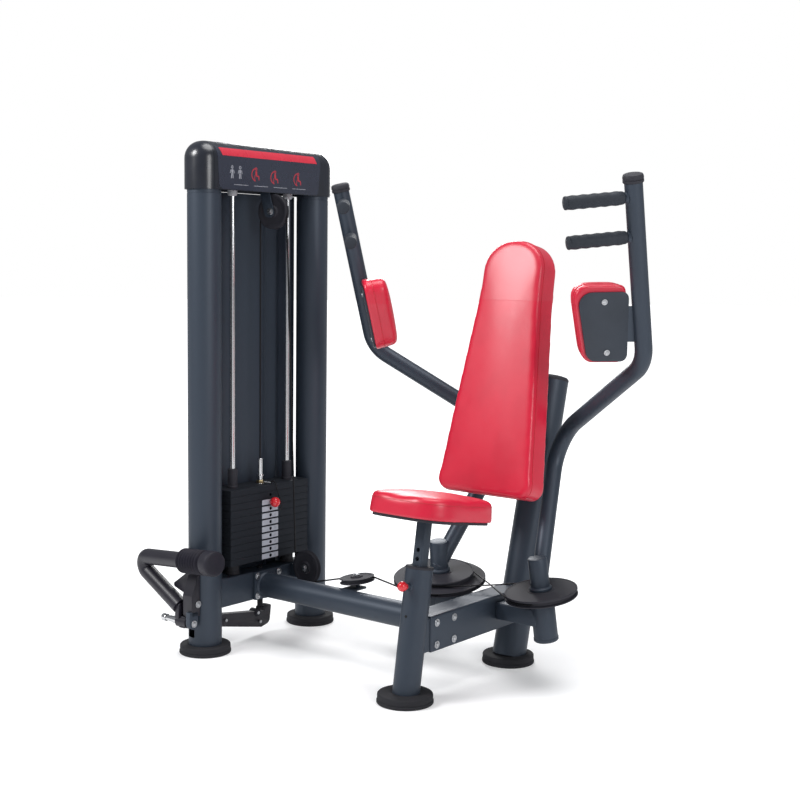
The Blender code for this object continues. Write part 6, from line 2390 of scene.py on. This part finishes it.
    def grip(self, index: int) -> None:
        """Ribbed grip on its bar.

        Args:
            index: 0 for the upper grip, 1 for the lower.
        """
        root, way = self.grip_line(self.shares[index])
        length = self.grip_length
        waves = rib_profile(length - 0.014, 5, 0.0189, 0.0174, 0.006, 10)
        profile = [(0.0, length), (0.0155, length), (0.0172, length - 0.0010), (0.0180, length - 0.0030),
                   (0.0180, length - 0.0055), (0.0168, length - 0.0066), *waves, (0.0170, 0.0025), (0.0160, 0.0),
                   (0.0133, 0.0), (0.0133, 0.1545), (0.0, 0.1545)]
        start = root + way * self.grip_start
        name = ("upper", "lower")[index]
        grip = Shop.lathe(f"grip_{name}_{self.name}", profile, along(start, start + way), 56)
        show(paint(grip, Look.GRIP), self.body, (f"{name}_grip_{self.name}",), 50.0)

    def build(self) -> None:
        """Build every piece of the arm."""
        self.housing()
        self.disc()
        self.tube()
        self.grip(0)
        self.grip(1)
        self.pad()


# ==================================================================== lever
@dataclass
class Lever:
    """Bent lever at the tower's foot, its rocker and the rod that it lifts.

    Attributes:
        tilt: how far the rocker dips to the rear, in radians.
        pin_bore: radius of the bore for the pin.
        eye: radius of the eye round it.
        link: thickness of the link below the eye.
        rocker: thickness of the rocker.
        rocker_half: half height of the rocker at the pin.
        reach: from the pin to the rocker's nose.
        roller: radius of the roller in the nose.
        rivet: radius of the rivets.
        bar: radius of the bar.
        bend: radius of its bend.
        grip_length: length of the bar inside the grip.
        grip_radius: radius of the grip.
    """

    tilt: float = math.radians(7.5)
    pin_bore: float = 0.0088
    eye: float = 0.0175
    link: float = 0.016
    rocker: float = 0.024
    rocker_half: float = 0.017
    reach: float = 0.335
    roller: float = 0.0125
    rivet: float = 0.0052
    bar: float = 0.0245
    bend: float = 0.028
    grip_length: float = 0.150
    grip_radius: float = 0.0378

    def handle(self) -> None:
        """Bent bar with its eye, link and rocker."""
        left, right = TOWER_X - 0.040, TOWER_X + 0.0045
        y, z = LEVER_PIN.y, LEVER_PIN.z
        bore = Shop.rod("bore", self.pin_bore, (left - 0.05, y, z), (right + 0.05, y, z), 32)
        eye = Shop.rod("eye", self.eye, (left, y, z), (right, y, z), 48, 0.0014)
        link = rounded([(y - 0.0165, z - 0.0165, 0.015), (y + 0.0165, z - 0.0165, 0.015),
                        (y + 0.014, LEVER[0].z + 0.012, 0.008), (y - 0.014, LEVER[0].z + 0.012, 0.008)])
        link_plate = Shop.plate("link", link, self.link, axes((left + 0.0082, 0, 0), Y, X), 0.0014)
        place = Matrix.Translation((TOWER_X - 0.012, y, z)) @ Matrix.Rotation(-self.tilt, 4, "X")
        high, reach = self.rocker_half, self.reach
        side = rounded([(-0.012, -high, 0.0), (0.130, -high - 0.005, 0.02), (reach - 0.010, -high - 0.020, 0.012),
                        (reach + 0.026, -high - 0.006, 0.014), (reach + 0.026, high + 0.018, 0.004),
                        (reach + 0.010, high + 0.018, 0.004), (reach - 0.004, high - 0.002, 0.006),
                        (-0.012, high, 0.0)], 5)
        rocker = Shop.plate("rocker", side, self.rocker, place @ axes((0, 0, 0), Y, X), 0.0014)
        pieces = [eye, link_plate, rocker]
        wheel, tail = [place @ Vector((0, y_, z_)) for y_, z_ in ((reach - 0.034, high - 0.006), (0.16, -0.004))]
        across = X * 0.016
        extras = [paint(Shop.rod("roller", self.roller, wheel - across, wheel + across, 40, 0.0015), Look.BLACK)]
        for spot in (wheel, tail, place @ Vector((0, reach - 0.020, -0.018))):
            extras.append(paint(Shop.rod("rivet", self.rivet, spot - across * 1.1, spot + across * 1.1, 20), Look.ZINC))
        for piece in pieces:
            tool = bore.copy()
            tool.data = bore.data.copy()
            bpy.context.scene.collection.objects.link(tool)
            Shop.boolean(piece, [tool], "DIFFERENCE")
        bpy.data.objects.remove(bore)
        pieces.append(Shop.bar("bar", bent_path(LEVER, (self.bend,), 20), self.bar, 48))
        for piece in pieces:
            paint(piece, Look.LILAC)
        pieces += extras
        show(Shop.join("lever_bar", pieces), "lever", ("lever_handle",))

    def grip(self) -> None:
        """Bellows grip at the end of the bar."""
        way = (LEVER[2] - LEVER[1]).normalized()
        length, outer = self.grip_length, self.grip_radius
        ribs = rib_profile(length - 0.048, 8, outer, 0.0272, 0.004, 10)
        profile = [(0.0, length + 0.008), (0.0300, length + 0.008), (0.0345, length + 0.0065),
                   (0.0372, length + 0.0030), (outer, length - 0.0020), (0.0376, length - 0.0300), *ribs,
                   (0.0285, 0.0), (0.0255, 0.0), (0.0255, length + 0.0003), (0.0, length + 0.0003)]
        start = LEVER[2] - way * length
        grip = Shop.lathe("lever_bellows", profile, along(start, start + way), 72)
        show(paint(grip, Look.BELLOWS), "lever", ("lever_grip",), 50.0)

    def pin(self) -> None:
        """Stepped pin that the lever turns on."""
        y, z = LEVER_PIN.y, LEVER_PIN.z
        profile = [(0.0, 0.133), (0.008, 0.133), (0.008, 0.064), (0.0108, 0.063), (0.0112, 0.061), (0.0112, 0.050),
                   (0.0095, 0.0485), (0.0095, 0.034), (0.0085, 0.033), (0.0085, 0.018), (0.0108, 0.017),
                   (0.0115, 0.015), (0.0115, 0.003), (0.0100, 0.0), (0.0, 0.0)]
        pin = Shop.lathe("lever_axle", profile, along((-0.875, y, z), (0, y, z)), 48)
        show(paint(pin, Look.CHROME), "frame", ("lever_pin",))

    def jack(self) -> None:
        """Rod that the rocker lifts."""
        dip = (TOWER_Y - LEVER_PIN.y) * math.tan(self.tilt)
        low = LEVER_PIN.z - dip + self.rocker_half / math.cos(self.tilt) + 0.0035
        top = BEAM_TOP - low + 0.004
        profile = [(0.0, top), (0.0080, top), (0.0090, top - 0.001), (0.0090, 0.012), (0.0118, 0.0115),
                   (0.0130, 0.0100), (0.0130, 0.0030), (0.0110, 0.0008), (0.0, 0.0)]
        rod = Shop.lathe("jack_rod", profile, Matrix.Translation((TOWER_X, TOWER_Y, low)), 40)
        show(paint(rod, Look.RUBBER), "jack", ("lift_jack",))

    def build(self) -> None:
        """Build the lever, its grip, its pin and the jack."""
        self.handle()
        self.grip()
        self.pin()
        self.jack()


def main() -> None:
    """Build every assembly in order."""
    logging.basicConfig(level=logging.INFO, format="%(message)s")
    bolts = Fasteners()
    stages = [("studio", Studio()), ("stack", Stack()), ("tower", Tower(bolts)), ("head", Head()),
              ("cables", CableTrain()), ("base", Base(bolts)), ("seat", Seat(bolts)), ("back rest", BackRest()),
              ("right arm", Arm(1, bolts)), ("left arm", Arm(-1, bolts)), ("lever", Lever()),
              ("fasteners", bolts)]
    for label, stage in stages:
        LOG.info("building the %s", label)
        stage.build()


if __name__ == "__main__":
    main()
